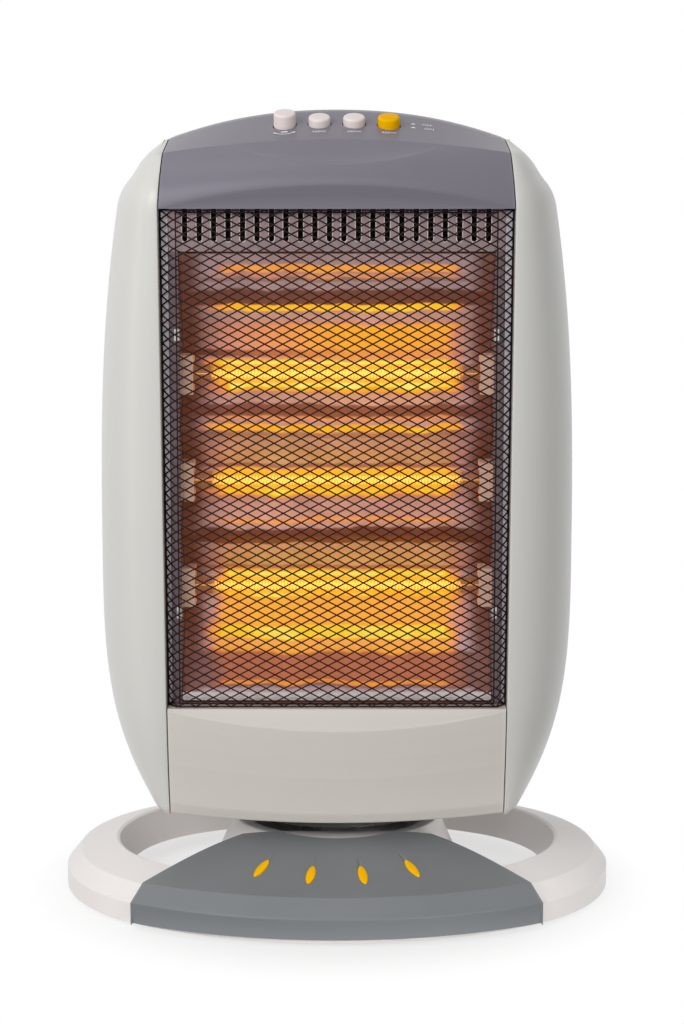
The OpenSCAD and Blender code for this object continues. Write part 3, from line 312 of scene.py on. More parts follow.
web_low, web_high, hub_floor, hub_top = 20, 23, 25, 46
hub_foot_radius, hub_hollow, deck_wall_half = 76, 58, 34
hub_profile = soften([(hub_foot_radius, web_low), (hub_foot_radius, web_high), (66, hub_top),
                      (hub_hollow, hub_top), (hub_hollow, 28), (11.4, 28), (11.4, hub_top), (9.1, hub_top),
                      (9.1, hub_floor), (hub_hollow, hub_floor), (62, web_low)], 1.0, closed=True)
hub_part = revolve(hub_profile, 128)
deck_half = math.asin(deck_wall_half / hub_hollow)
deck_outline = [(58.5 * math.sin(a), -58.5 * math.cos(a))
                for a in (deck_half * (k / 12 - 1) for k in range(25))]

cover_arc_radius, cover_centre, cover_half_width = 246.0, 106.0, 126.0
neck_half_width, neck_reach = 59.0, 57.0
corner_reach = math.sqrt(cover_arc_radius ** 2 - cover_half_width ** 2) - cover_centre


def side_edge(t):
    """One side edge of the grey cover, bowed in between the front corner and the neck."""
    bow = 5 * math.sin(math.pi * t)
    sweep = math.sin(math.pi / 2 * t)
    return (cover_half_width - 7 * sweep - (cover_half_width - neck_half_width - 7) * t - bow * 0.45,
            -corner_reach + 10 * sweep + (corner_reach - neck_reach - 10) * t + bow * 0.9)


web_edge = [(x - 5.6, max(y - 3, -99.4)) for x, y in (side_edge(i / 10) for i in range(11))]
web_front = extruded(web_edge + [(-x, y) for x, y in reversed(web_edge)], web_low, web_high)
web_rear = extruded(oblong(48, 40, 101.4), web_low, web_high)
hub_deck = extruded(deck_outline, 43, 45.9)
deck_wall = extruded(oblong(deck_wall_half, -50, -47), hub_floor, 45.8)
link_post = revolve([(0.01, hub_floor), (4, hub_floor), (4, 33.6), (0.01, 33.6)], 24, (-17.5, -4.2))

white_plastic = moulded("white_plastic", srgb(243, 237, 234), gloss=0.36, grain=1500.0, blotch=0.04,
                        wear=0.05, dust=0.03, bump=0.12, Specular_IOR_Level=0.45)
base_parts = merge((ring_points, ring_faces), hub_part, hub_deck, deck_wall, web_front, web_rear, link_post)
base_moulding = piece("base_moulding", *base_parts, white_plastic)
fit(base_moulding, "base", "white_plastic", "base_ring")

# ---- Rubber feet ----
# Four moulded rubber pads pressed into the underside of the ring. Matt black, a little dusty.
rubber = moulded("rubber", srgb(40, 40, 41), gloss=0.78, grain=2200.0, blotch=0.3, wear=0.3, dust=0.1,
                 bump=0.35, bump_depth=0.08)
dress("rubber_feet", rubber)

# ---- Grey front cover of the base ----
# A thin grey moulding clipped over the front of the ring and the web. It has a bevelled front
# edge, a hollow at the neck for the hub, and four grooves that taper towards the swing axis.
cover_lift, cover_skirt_top = 4.5, 17.0
cover_crease_radius, cover_crease_top = 237.0, 28.0
neck_hollow_radius, neck_height = 67.5, 50.0
cover_slope = (neck_height - cover_crease_top) / (cover_crease_radius - cover_centre - neck_reach)


def cover_height(radius):
    """Height of the cover's upper face at a distance from the centre of its arcs."""
    return cover_crease_top + cover_slope * (cover_crease_radius - radius)


def cover_plan(across, along):
    """Blend of the cover's front arc, its neck line and its two side edges."""
    angle = across * math.asin(side_edge(0)[0] / cover_arc_radius)
    front = Vector((cover_arc_radius * math.sin(angle), cover_centre - cover_arc_radius * math.cos(angle)))
    neck_x = across * neck_half_width
    rear = Vector((neck_x, -max(neck_reach, math.sqrt(max(0.0, neck_hollow_radius ** 2 - neck_x ** 2)))))
    edge_x, edge_y = side_edge(along)
    left, right = Vector((-edge_x, edge_y)), Vector((edge_x, edge_y))
    share = (across + 1) / 2
    corners = [Vector((-cover_half_width, -corner_reach)), Vector((cover_half_width, -corner_reach)),
               Vector((-neck_half_width, -neck_reach)), Vector((neck_half_width, -neck_reach))]
    flat = ((1 - along) * ((1 - share) * corners[0] + share * corners[1])
            + along * ((1 - share) * corners[2] + share * corners[3]))
    return (1 - along) * front + along * rear + (1 - share) * left + share * right - flat


def cover_point(across, along):
    """A point of the cover's upper face, its bevel and the upper part of its skirt."""
    plan = cover_plan(across, along)
    radius = (plan - Vector((0, cover_centre))).length
    if radius <= cover_crease_radius:
        return (plan.x, plan.y, cover_height(radius))
    share = (cover_arc_radius - radius) / (cover_arc_radius - cover_crease_radius)
    return (plan.x, plan.y, cover_skirt_top + (cover_crease_top - cover_skirt_top) * share)


def ring_top(x, y):
    """Height of the ring, the web or the hub under a point of the cover."""
    inset = side_radius - math.hypot(x, y - ring_shift - side_offset)
    if inset < 0:
        return 0.0
    face = [(0, 14.5), (9, 25), (34, 31.5), (41, 12)]
    for (low_inset, low), (high_inset, high) in zip(face, face[1:]):
        if inset <= high_inset:
            return low + (high - low) * (inset - low_inset) / (high_inset - low_inset)
    return web_high if math.hypot(x, y) > hub_foot_radius else hub_floor


def along_at(across, radius):
    """How far along the cover a radius from the centre of its arcs lies."""
    near, far = 0.0, 0.4
    for _ in range(30):
        middle = (near + far) / 2
        reach = (cover_plan(across, middle) - Vector((0, cover_centre))).length
        near, far = (middle, far) if reach > radius else (near, middle)
    return near


def sheet(name, rows, material):
    """An open sheet through rows of points."""
    points = [point for row in rows for point in row]
    return piece(name, points, grid_faces(len(rows), len(rows[0])), material)


cover_columns, cover_rows = 120, 56
cover_grid = []
for column in range(cover_columns + 1):
    across = 2 * column / cover_columns - 1
    crease = along_at(across, cover_crease_radius)
    stops = [0.0, crease / 2, crease]
    stops += [crease + (1 - crease) * (i + 1) / cover_rows for i in range(cover_rows)]
    line = [cover_point(across, along) for along in stops]
    line[2] = (*line[2][:2], cover_crease_top)
    foot_x, foot_y, _ = line[0]
    skirt = [(foot_x, foot_y, cover_lift), (foot_x, foot_y, cover_skirt_top - 1.5)]
    cover_grid.append(soften(skirt + line, 0.45, steps=3))
rims = [[(x, y, min(z, max(cover_lift, ring_top(x, y) + 0.3))) for x, y, z in edge_line]
        for edge_line in (cover_grid[0], cover_grid[-1])]
cover_grid = [rims[0]] + cover_grid + [rims[1]]

cover_grey = moulded("cover_grey", srgb(112, 116, 119), gloss=0.33, grain=1500.0, blotch=0.07, wear=0.35,
                     dust=0.06, bump=0.14, Specular_IOR_Level=0.45)
front_cover = sheet("front_cover", cover_grid, cover_grey)


def thicken(obj, wall, inside):
    """Turns an open sheet away from a point inside it, in millimetres, and gives it a wall on that side."""
    centre = Vector(inside) * MM
    votes = sum((polygon.center - centre).dot(polygon.normal) * polygon.area for polygon in obj.data.polygons)
    if votes < 0:
        obj.data.flip_normals()
    solid = obj.modifiers.new("wall", "SOLIDIFY")
    solid.thickness = wall * MM
    solid.offset = -1
    solid.use_even_offset = False
    settle(obj)
    shade_smooth(obj)


def carve(obj, *parts):
    """Cuts closed shapes, given in millimetres, out of a piece."""
    mesh = mesh_of("cutter", *merge(*parts))
    turn_out(mesh)
    cutter = bpy.data.objects.new("cutter", mesh)
    collection.objects.link(cutter)
    cut = obj.modifiers.new("cut", "BOOLEAN")
    cut.operation = "DIFFERENCE"
    cut.solver = "EXACT"
    cut.object = cutter
    settle(obj)
    bpy.data.objects.remove(cutter)
    shade_smooth(obj)


def placed(part, matrix):
    """Points and faces of a part moved by a matrix."""
    points, faces = part
    return [tuple(matrix @ Vector(point)) for point in points], faces


drop_arc_radius, drop_step, drop_length, drop_width, drop_height = 108.0, 16.9, 20.0, 5.6, 1.2


def drop_place(i):
    """Matrix that lays a drop-shaped insert on the cover."""
    angle = math.radians((i - 2.5) * drop_step)
    x, y = drop_arc_radius * math.sin(angle), -drop_arc_radius * math.cos(angle)
    height = cover_height(math.hypot(x, y - cover_centre))
    return (Matrix.Translation((x, y, height)) @ Matrix.Rotation(angle, 4, "Z")
            @ Matrix.Rotation(math.atan(cover_slope), 4, "X"))


def almond(extra):
    """Outline of a drop-shaped insert, narrow at both ends."""
    half_length, half_width = drop_length / 2 + extra, drop_width / 2 + extra
    side = []
    for step in range(20):
        y = -half_length * math.cos(math.pi * step / 20)
        side.append((half_width * max(0.0, 1 - abs(y / half_length) ** 2.2) ** 0.7, y))
    return side + [(-x, -y) for x, y in side]


def groove():
    """A tapered trough that starts at the insert and runs out towards the swing axis."""
    points = []
    for t in (0, 0.25, 0.5, 0.75, 1):
        y, half, depth = 7 + 15 * t, 2.5 * (1 - t) + 0.15, 1.25 * (1 - t) + 0.05
        points += [(-half, y, 1.5), (-half * 0.9, y, 0), (0, y, -depth), (half * 0.9, y, 0), (half, y, 1.5)]
    faces = grid_faces(5, 5, wrap_columns=True)
    return points, faces + [(4, 3, 2, 1, 0), (20, 21, 22, 23, 24)]


cover_wall, drop_gap, pocket_depth = 1.5, 0.22, 1.1
thicken(front_cover, cover_wall, (0, 0, -60))
pocket = extruded(almond(drop_gap), -pocket_depth, 3)
carve(front_cover, *(placed(pocket, drop_place(i)) for i in range(1, 5)))
carve(front_cover, *(placed(groove(), drop_place(i)) for i in range(1, 5)))
fit(front_cover, "base", "grey_cover", "base_front_cover")

# ---- Yellow drops ----
# Four glossy yellow mouldings with a domed face, pressed into pockets of the grey cover.
drop_yellow = moulded("drop_yellow", srgb(255, 190, 0), gloss=0.3, grain=1200.0, blotch=0.08, bump=0.05,
                      Specular_IOR_Level=0.02)
outline = almond(0)
shares = (1.0, 0.97, 0.9, 0.75, 0.55, 0.3)
for i in range(1, 5):
    points = [(x, y, -0.9) for x, y in outline]
    for share in shares:
        dome = (drop_height - 0.15) * math.sqrt(max(0.0, 1 - share ** 2.2))
        for x, y in outline:
            reach = math.hypot(x * 3.2, y) / (drop_length / 2) * share
            points.append((x * share, y * share, 0.12 + dome * (1 - 0.35 * reach)))
    faces = grid_faces(len(shares) + 1, len(outline), wrap_columns=True)
    faces += [tuple(range(len(outline)))[::-1], tuple(range(len(shares) * len(outline), len(points)))]
    drop = piece(f"drop_{i}", *placed((points, faces), drop_place(i)), drop_yellow)
    fit(drop, "base", "yellow_plastic", f"insert_{i}")

# ---- Pivot and swing drive ----
# Zinc-plated steel tube and nut on a slippery washer, a crank on the motor shaft and a link to
# a fixed post. Only the edge of the turntable shows, as a dark gap under the head.
tree, start, end = new_group(
    "sheet_metal",
    [("Colour", COLOUR, (0.7, 0.7, 0.7, 1)), ("Heat Colour", COLOUR, (0.4, 0.25, 0.2, 1)),
     ("Gloss", VALUE, 0.35), ("Grain Size", VALUE, 60.0), ("Stretch", VALUE, 12.0),
     ("Heat Tint", VALUE, 0.0)],
    [("Base Color", COLOUR), ("Roughness", VALUE), ("Bump Height", VALUE)])
metal_group, given = tree, start.outputs
place = add_node(tree, "ShaderNodeTexCoord").outputs["Object"]
scale = add_node(tree, "ShaderNodeCombineXYZ", in_0=1.0, in_1=8.0, in_2=given["Stretch"])
stretched = add_node(tree, "ShaderNodeVectorMath", operation="MULTIPLY", in_0=place, in_1=scale.outputs[0])
lines = add_node(tree, "ShaderNodeTexNoise", in_Vector=stretched.outputs[0], in_Scale=given["Grain Size"],
                 in_3=5.0, in_4=0.65).outputs[0]
stains = add_node(tree, "ShaderNodeTexNoise", in_Vector=place, in_2=22.0, in_3=4.0, in_4=0.6).outputs[0]
tinted = add_node(tree, "ShaderNodeMix", data_type="RGBA", in_6=given["Colour"], in_7=given["Heat Colour"],
                  in_0=calc(tree, stains, "*", given["Heat Tint"], clamp=True))
toned = add_node(tree, "ShaderNodeHueSaturation", in_Color=tinted.outputs[2],
                 in_Value=calc(tree, calc(tree, lines, "*", 0.24), "+", 0.88))
uneven = calc(tree, calc(tree, lines, "-", 0.5), "*", 0.3)
feed(tree, end, in_Base_Color=toned.outputs[0], in_Bump_Height=lines,
     in_Roughness=calc(tree, given["Gloss"], "+", uneven, clamp=True))

zinc_steel = finish("zinc_steel", metal_group,
                    {"Colour": srgb(196, 197, 200), "Gloss": 0.32, "Grain Size": 260.0},
                    bump=0.1, Metallic=0.95)
dark_plastic = moulded("dark_plastic", srgb(30, 30, 32), gloss=0.42, grain=1500.0, blotch=0.2, wear=0.5,
                       dust=0.04, bump=0.15)
pale_plastic = moulded("pale_plastic", srgb(238, 235, 222), gloss=0.3, grain=1500.0, blotch=0.05, bump=0.1)
dress("thrust_washer", pale_plastic)
dress("turntable", dark_plastic)
for node in ("pivot_tube", "pivot_nut", "crank", "link", "turntable_screws", "swing_motor", "chassis_plate"):
    dress(node, zinc_steel)

# ---- Side panels ----
# Two tall curved mouldings in pale grey satin plastic, one each side of the grille. Each wraps
# from the rear seam to the front edge and turns in with a lip; screws inside the rear hold them.
shell_wall, seam_gap = 2.4, 0.6
body_half, widest_height, head_bottom = 149.5, 232.0, 60.0
top_height, crown, crown_power, grille_low, grille_high = 496.4, 18.0, 2.2, 131.5, 436.5
side_top, top_edge = top_height - crown, grille_high + 0.5
seam_half_low, seam_half_high, rear_seam = 104.0, 107.0, 4.0
front_reach, front_bulge, panel_front_height, panel_front_reach = 76.0, 5.0, 478.0, 56.0
side_shoulder, grille_lip, edge_round = 470.0, 15.0, 5.0
foot_inset, brow_inset, shoulder_dip, crown_inset, foot_tuck, ridge_front = 34, 12.5, 1.8, 23, 13, 8
side_columns, edge_levels, wall_levels = 40, 6, 90


def flank(z):
    """Half width of the sides: widest low down, with a shallow dip above the grille."""
    if z < widest_height:
        return body_half - foot_inset * ((widest_height - z) / (widest_height - head_bottom)) ** 3.6
    half = body_half - brow_inset * ((z - widest_height) / (top_edge - widest_height)) ** 2.6
    dip = (z - top_edge - (side_top - top_edge) * 0.47) / 6.5
    half -= shoulder_dip * math.exp(-dip ** 2)
    if z > top_edge:
        half -= crown_inset * ((z - top_edge) / (side_top - top_edge)) ** 2
    return half


def half_width(z):
    """Half width of the head at a height, with the crown of the top above the shoulders."""
    if z <= side_top:
        return flank(z)
    return flank(side_top) * max(0.0, (top_height - z) / crown) ** (1 / crown_power)


def seam_half(z):
    """Half of the distance between the front seams at a height."""
    if z < top_edge:
        return seam_half_low + (seam_half_high - seam_half_low) * (z - head_bottom) / (top_edge - head_bottom)
    return seam_half_high - 2.5 * (z - top_edge) / (side_top - top_edge)


def seam_reach(z):
    """Distance of the front seams from the swing axis at a height."""
    if z < grille_low:
        return front_reach - foot_tuck * ((grille_low - z) / (grille_low - head_bottom)) ** 1.7
    if z < top_edge:
        return front_reach
    if z < side_shoulder:
        share = (z - top_edge) / (side_shoulder - top_edge)
        return front_reach - (front_reach - panel_front_reach) * share ** 2.2
    share = min(1.0, (z - side_shoulder) / (side_top - side_shoulder))
    return panel_front_reach - (panel_front_reach - ridge_front) * share


def eased(low, high, i, steps):
    """A step between two heights, closer spaced at both."""
    return low + (high - low) * (1 - math.cos(math.pi * i / steps)) / 2


def side_row(z, tuck):
    """One level of the left side panel, from the rear seam to the front edge and its lip."""
    half, seam, reach = half_width(z) - tuck, seam_half(z) + seam_gap / 2, seam_reach(z) - tuck
    lip = min(grille_lip, reach + rear_seam - 4)
    row = []
    for k in range(side_columns, -1, -1):
        angle = math.pi / 2 * k / side_columns
        row.append((-seam - (half - seam) * math.sin(angle) ** 0.9,
                    rear_seam - (reach + rear_seam) * math.cos(angle) ** 0.9, z))
    return row[:-1] + soften([row[-2], row[-1], (-seam, -reach + lip, z)], 0.9)[1:]


def side_levels():
    """Heights and inward tucks of the panel levels, closely spaced at the rolled lower edge."""
    levels = [(head_bottom + edge_round * (1 - math.cos(a)), edge_round * (1 - math.sin(a)))
              for a in (math.pi / 2 * i / edge_levels for i in range(edge_levels))]
    return levels + [(eased(head_bottom + edge_round, side_top - 0.5, i, wall_levels), 0)
                     for i in range(wall_levels + 1)]


panel_paint = moulded("panel_paint", srgb(214, 213, 208), gloss=0.34, grain=1300.0, blotch=0.04, wear=0.04,
                      dust=0.02, bump=0.1, Specular_IOR_Level=0.5, Coat_Weight=0.08, Coat_Roughness=0.2)
for name, sign in (("left_panel", 1), ("right_panel", -1)):
    rows = [[(sign * x, y, z) for x, y, z in side_row(z, tuck)] for z, tuck in side_levels()]
    panel = sheet(f"{name}_shell", rows, panel_paint)
    thicken(panel, shell_wall, (-sign * 90, 0, 260))
    fit(panel, "head", "side_paint", name)

# ---- Lower front panel ----
# A pale grey moulding that closes the head under the grille. Its upper edge steps back in a
# crescent, so that a crease runs as a shallow arc from corner to corner.
lower_top, crescent_drop, front_dip, lower_columns = grille_low - 0.3, 12.0, 3.0, 64


def lower_column(u):
    """One column of the lower panel, from the lip under the grille down to the tucked floor edge."""
    m = 1 - u * u
    bottom = head_bottom + 2 - (front_dip + 2) * m
    crease = lower_top - 1.2 - crescent_drop * m
    lip_bulge = front_bulge * m * 0.6

    def front(z, bulge, inward):
        return (u * (seam_half(z) - seam_gap / 2), -seam_reach(z) - bulge + inward, z)
    line = [front(lower_top, lip_bulge, grille_lip), front(lower_top, lip_bulge, 2.6 * m),
            front(crease + 0.9 * m, front_bulge * m, 1.1 * m)]
    for t in (0.0, 0.04, 0.12, 0.3, 0.5, 0.7, 0.9, 1.0):
        line.append(front(crease + (bottom - crease) * t, front_bulge * m * (1 + 0.7 * t),
                          1.0 if t == 1.0 else 0.0))
    end_x, end_y, end_z = line[-1]
    line.append((end_x, end_y + 12, end_z - 0.4))
    return soften(line[:2], 0.6) + soften([line[1]] + line[2:-3], 0.35)[1:-1] + soften(line[-4:], 1.2)[1:]


lower_colour = moulded("lower_plastic", srgb(216, 211, 203), gloss=0.36, grain=1300.0, blotch=0.05,
                       wear=0.06, dust=0.03, bump=0.1, Specular_IOR_Level=0.45)
lower_lines = [lower_column(1 - 2 * i / lower_columns) for i in range(lower_columns + 1)]
lower_panel = sheet("lower_panel_shell", lower_lines, lower_colour)
thicken(lower_panel, shell_wall, (0, 0, 100))
fit(lower_panel, "head", "panel_plastic", "lower_panel")

# ---- Top cover ----
# One moulding in dark grey with a violet cast. From the grille upwards it has a recessed
# crescent, a leaning face, a thumb scoop in front of the buttons, the button panel and a ridge.
ridge_reach, ridge_drop, panel_edge_drop, face_power = 14.0, 1.2, 8.0, 2.2
scoop_half, scoop_depth, brow_lip, crescent_rise, crescent_push = 62.5, 14.5, 2.5, 13.5, 4.0
face_steps, panel_steps, top_columns = 12, 8, 110


def top_column(u):
    """One column of the top cover as [y, z] points, from the grille to the ridge."""
    m, fall = 1 - u * u, crown * abs(u) ** crown_power
    x_scoop = u * seam_half_high / scoop_half
    hollow = max(0.0, 1 - x_scoop * x_scoop)
    lowest = (-(front_reach + (front_bulge - 1.5) * m), top_edge)
    lip_y, lip_z = -(front_reach + (front_bulge + crescent_push) * m), top_edge + 0.6 + crescent_rise * m
    brow_y, brow_z = -panel_front_reach, panel_front_height - panel_edge_drop * u * u
    ridge_y, ridge_z = -ridge_reach, top_height - ridge_drop - fall
    scoop_low = brow_z - brow_lip - hollow * (scoop_depth - brow_lip)
    share = (scoop_low - lip_z) / (brow_z - lip_z)
    scoop_y = lip_y + (brow_y - lip_y) * share ** face_power
    line = [lowest, ((lowest[0] + lip_y) / 2 + 0.6 * m, (lowest[1] + lip_z) / 2)]
    for k in range(face_steps + 1):
        t = share * k / face_steps
        line.append((lip_y + (brow_y - lip_y) * t ** face_power, lip_z + (brow_z - lip_z) * t))
    for k in range(1, face_steps + 1):
        t = k / face_steps
        reach = t ** (1 - 0.45 * hollow)
        line.append((scoop_y + (brow_y - scoop_y) * reach, scoop_low + (brow_z - scoop_low) * t))
    for k in range(1, panel_steps + 1):
        line.append((brow_y + (ridge_y - brow_y) * k / panel_steps,
                     brow_z + (ridge_z - brow_z) * k / panel_steps))
    return line + [(-(ridge_reach - 8), top_height - 0.1 - fall), (rear_seam - seam_gap, top_height - fall)]


def top_line(u):
    """The column as [x, y, z] points with its creases rounded."""
    line = [(u * (seam_half(min(z, side_top)) - seam_gap / 2), y, z) for y, z in top_column(u)]
    return soften(line, 0.9, steps=2)


top_violet = moulded("top_plastic", srgb(126, 122, 133), gloss=0.34, grain=1500.0, blotch=0.06, wear=0.2,
                     dust=0.05, bump=0.12, Specular_IOR_Level=0.2)
top_shell = sheet("top_cover_shell", [top_line(1 - 2 * i / top_columns) for i in range(top_columns + 1)],
                  top_violet)
thicken(top_shell, shell_wall, (0, 0, 400))

panel_slope = math.atan2(top_height - ridge_drop - panel_front_height, panel_front_reach - ridge_reach)
button_back, button_pitch, button_radius, button_clearance = 23.0, 21.2, 6.85, 0.55
button_x = {i: (i - 2.5) * button_pitch for i in range(1, 5)}


def on_panel(x, back=button_back, lift=0.0, lean=0.0):
    """Matrix that stands a part on the button panel, its Z axis square to the panel's middle line.

    A lean of 1 also follows the fall of the panel towards its ends."""
    u, b = abs(x) / seam_half_high, back / (panel_front_reach - ridge_reach)
    drop = panel_edge_drop * u ** 2 * (1 - b) + crown * u ** crown_power * b
    fall = 2 * panel_edge_drop * u * (1 - b) + crown_power * crown * u ** (crown_power - 1) * b
    tilt = math.copysign(math.atan(fall / seam_half_high) * lean, x)
    height = panel_front_height + back * math.tan(panel_slope) - drop
    return (Matrix.Translation((x, -panel_front_reach + back, height)) @ Matrix.Rotation(tilt, 4, "Y")
            @ Matrix.Rotation(panel_slope, 4, "X") @ Matrix.Translation((0, 0, lift)))


def rod(radius, low, high):
    """A round cutter about an upright axis."""
    return revolve([(0.001, low), (radius, low), (radius, high), (0.001, high)], 48)


for i in range(1, 5):
    carve(top_shell, placed(rod(button_radius + button_clearance, -9, 9), on_panel(button_x[i])))
fit(top_shell, "head", "top_plastic", "top_cover")

# ---- Legends ----
# Pale print in front of each button: a swing arc with arrows, a plain wattage for each lamp, and
# the words OFF and ON beside arrows at the right of the row.
print_white = moulded("print_white", srgb(246, 244, 249), gloss=0.5, grain=4000.0, blotch=0.2, bump=0.05)


def lay_text(name, words, x, back, size):
    """Printed words that lie on the button panel."""
    curve = bpy.data.curves.new(name, "FONT")
    curve.body = words
    curve.size = size * MM
    curve.align_x, curve.align_y = "CENTER", "CENTER"
    curve.extrude = 0.03 * MM
    curve.materials.append(print_white)
    obj = bpy.data.objects.new(name, curve)
    collection.objects.link(obj)
    place = on_panel(x, back, 0.1, 1.0)
    place.translation *= MM
    obj.matrix_world = place
    fit(obj, "head", "top_plastic")


def lay_outline(name, outline, x, back):
    """A printed flat shape on the button panel."""
    shape = placed(extruded(outline, 0.05, 0.13), on_panel(x, back, 0.0, 1.0))
    fit(piece(name, *shape, print_white), "head", "top_plastic")


legend_back, arc_radius, arc_middle, arc_steps = 11.5, 7.2, 5.2, 16
for i in (2, 3, 4):
    lay_text(f"legend_{i}", "400W", button_x[i], legend_back, 3.6)
turns = [math.radians(-48 + 96 * k / arc_steps) for k in range(arc_steps + 1)]
arc = [(arc_radius * math.sin(turn), arc_middle - arc_radius * math.cos(turn)) for turn in turns]
inner = [(x * 0.93, arc_middle - (arc_middle - y) * 0.93) for x, y in reversed(arc)]
lay_outline("swing_arc", arc + inner, button_x[1], legend_back - 0.4)
for name, sign in (("swing_arrow_left", -1), ("swing_arrow_right", 1)):
    tip_x, tip_y = sign * 6.9, 1.8
    lay_outline(name, [(tip_x, tip_y), (tip_x - sign * 2.4, tip_y - 0.9), (tip_x - sign * 0.9, tip_y - 2.2)],
                button_x[1], legend_back - 0.4)
lay_outline("swing_body", [(-2.2, 0), (2.2, 0), (1.7, 1.5), (-1.7, 1.5)], button_x[1], legend_back + 0.6)
lay_text("legend_off", "OFF", 55.5, 29.0, 3.8)
lay_text("legend_on", "ON", 56.5, 23.0, 3.8)
for name, back in (("arrow_up", 28.6), ("arrow_down", 22.8)):
    lay_outline(name, [(-1.7, -0.9), (1.7, -0.9), (0, 1.3)], 46.8, back)

# ---- Push buttons ----
# Four round latching caps: the swing button at the left is out, the two white lamp buttons and
# the yellow one are in. Glossy plastic with a softly rounded rim, on plain stems.
button_white = moulded("button_white", srgb(240, 228, 224), gloss=0.32, grain=1400.0, blotch=0.04,
                       bump=0.06, Specular_IOR_Level=0.35)
stem_radius, stem_foot, cap_foot, cap_dome = 3, -17, -5, 0.35
for i, rise, cap, material, slot in (
        (1, 3.6, 5.2, button_white, "button_plastic"), (2, 0.0, 5.2, button_white, "button_plastic"),
        (3, 0.0, 5.2, button_white, "button_plastic"), (4, 0.0, 6.2, drop_yellow, "yellow_plastic")):
    profile = soften([(0.001, cap), (button_radius - 0.2, cap), (button_radius, cap_foot),
                      (stem_radius, cap_foot), (stem_radius, stem_foot), (0.001, stem_foot)], 1.5, steps=6)
    # The cap's face is very slightly domed towards its middle
    profile = [(r, z - cap_dome * (r / button_radius) ** 2 if z > cap - 2 else z) for r, z in profile]
    place = on_panel(button_x[i], button_back, rise)
    button = piece(f"button_cap_{i}", *placed(revolve(profile, 64), place), material)
    fit(button, f"button_{i}_body", slot, f"button_{i}")

# ---- Rear cover and cord inlet ----
# One deep moulding in the same pale grey as the sides, screwed on from behind, with two fields
# of cooling slots for the lamps and the switches. A black bushing frames the hole for the cord.
rear_reach, rear_waist, rear_shoulder, rear_columns, rear_walls = 72.0, 110, 400, 80, 96
vent_near, vent_far, vent_high, vent_pitch, inlet_height, inlet_radius = 3.0001, 61.0001, 4, 9, 118, 6.3
cut_front, cut_back = 43, 90


def rear_line(z):
    """How far the rear cover stands back at a height."""
    if z < rear_waist:
        return rear_reach - 14 * ((rear_waist - z) / (rear_waist - head_bottom)) ** 2
    if z < rear_shoulder:
        return rear_reach
    share = (z - rear_shoulder) / (top_height - rear_shoulder)
    return rear_reach - (rear_reach - rear_seam - 1) * share ** 2.4


def rear_row(z, tuck):
    """One level of the rear cover, a flattened half round from seam to seam."""
    half, reach = half_width(z) - tuck, rear_line(z) - rear_seam - seam_gap / 2 - tuck
    row = []
    for k in range(rear_columns + 1):
        angle = math.pi * k / rear_columns
        c, s = math.cos(angle), max(0.0, math.sin(angle))
        row.append((half * math.copysign(abs(c) ** 0.8, c), rear_seam + seam_gap / 2 + reach * s ** 0.8, z))
    return row


def upright(outline, front, back):
    """A closed prism between two depths, over an outline of [across, height]."""
    points, faces = extruded(outline, front, back)
    return [(x, y, z) for x, z, y in points], faces


def vent(x_low, x_high, z_low):
    """A slot with round ends that cuts through from front to back."""
    radius, middle = vent_high / 2, z_low + vent_high / 2
    shape = []
    for centre, first in ((x_high - radius, -90), (x_low + radius, 90)):
        for k in range(7):
            angle = math.radians(first + 30 * k)
            shape.append((centre + radius * math.cos(angle), middle + radius * math.sin(angle)))
    return upright(shape, cut_front, cut_back)


rear_levels = side_levels()[:edge_levels]
rear_levels += [(eased(head_bottom + edge_round, top_height - 0.1, i, rear_walls), 0)
                for i in range(rear_walls + 1)]
rear_shell = sheet("rear_cover_shell", [rear_row(z, tuck) for z, tuck in rear_levels], panel_paint)
thicken(rear_shell, shell_wall, (0, 0, 260))
vent_levels = [330 + vent_pitch * k for k in range(9)] + [150 + vent_pitch * k for k in range(7)]
vents = [vent(x_low, x_high, z) for x_low, x_high in ((vent_near, vent_far), (-vent_far, -vent_near))
         for z in vent_levels]
turn_back = Matrix.Translation((0, 0, inlet_height)) @ Matrix.Rotation(math.radians(-90), 4, "X")
carve(rear_shell, *vents, placed(rod(inlet_radius, cut_front, cut_back), turn_back))
fit(rear_shell, "head", "side_paint", "rear_cover")
dress("cord_inlet", dark_plastic)

# ---- Wire grille ----
# Expanded steel mesh, stamped into flat diamonds and baked in dark brown paint. Its sides are
# folded back; a round wire edges it, and four bright spring clips hold it to the lamp chamber.
grille_reach, grille_fold, grille_back, side_strip, strand_radius = 73.0, 98.9, 7.6, 9.8, 0.46
mesh_half, mesh_low, mesh_high = grille_fold + side_strip, grille_low + 0.5, grille_high - 0.5
diamond_columns, diamond_rows = 20, 53
diamond_wide, diamond_high = 2 * mesh_half / diamond_columns, (grille_high - grille_low - 1) / diamond_rows
edge_wire_radius, wire_half, wire_reach = 0.6, 96.8, 70.5


def folded(along, z):
    """A point of the flat mesh once its sides are folded back, close to the side panels."""
    over = max(0.0, abs(along) - grille_fold) / side_strip
    x = math.copysign(min(abs(along), grille_fold) + (seam_half(z) - 0.6 - grille_fold) * over, along)
    return x, -grille_reach + strand_radius + grille_back * over, z


def wire(name, radius, resolution, material, paths, closed=False):
    """Round wires along paths of points in millimetres, as one piece."""
    curve = bpy.data.curves.new(name, "CURVE")
    curve.dimensions = "3D"
    curve.bevel_depth = radius * MM
    curve.bevel_resolution = resolution
    curve.materials.append(material)
    for path in paths:
        spline = curve.splines.new("POLY")
        spline.use_cyclic_u = closed
        spline.points.add(len(path) - 1)
        for point, (x, y, z) in zip(spline.points, path):
            point.co = (x * MM, y * MM, z * MM, 1)
    obj = bpy.data.objects.new(name, curve)
    collection.objects.link(obj)
    return obj


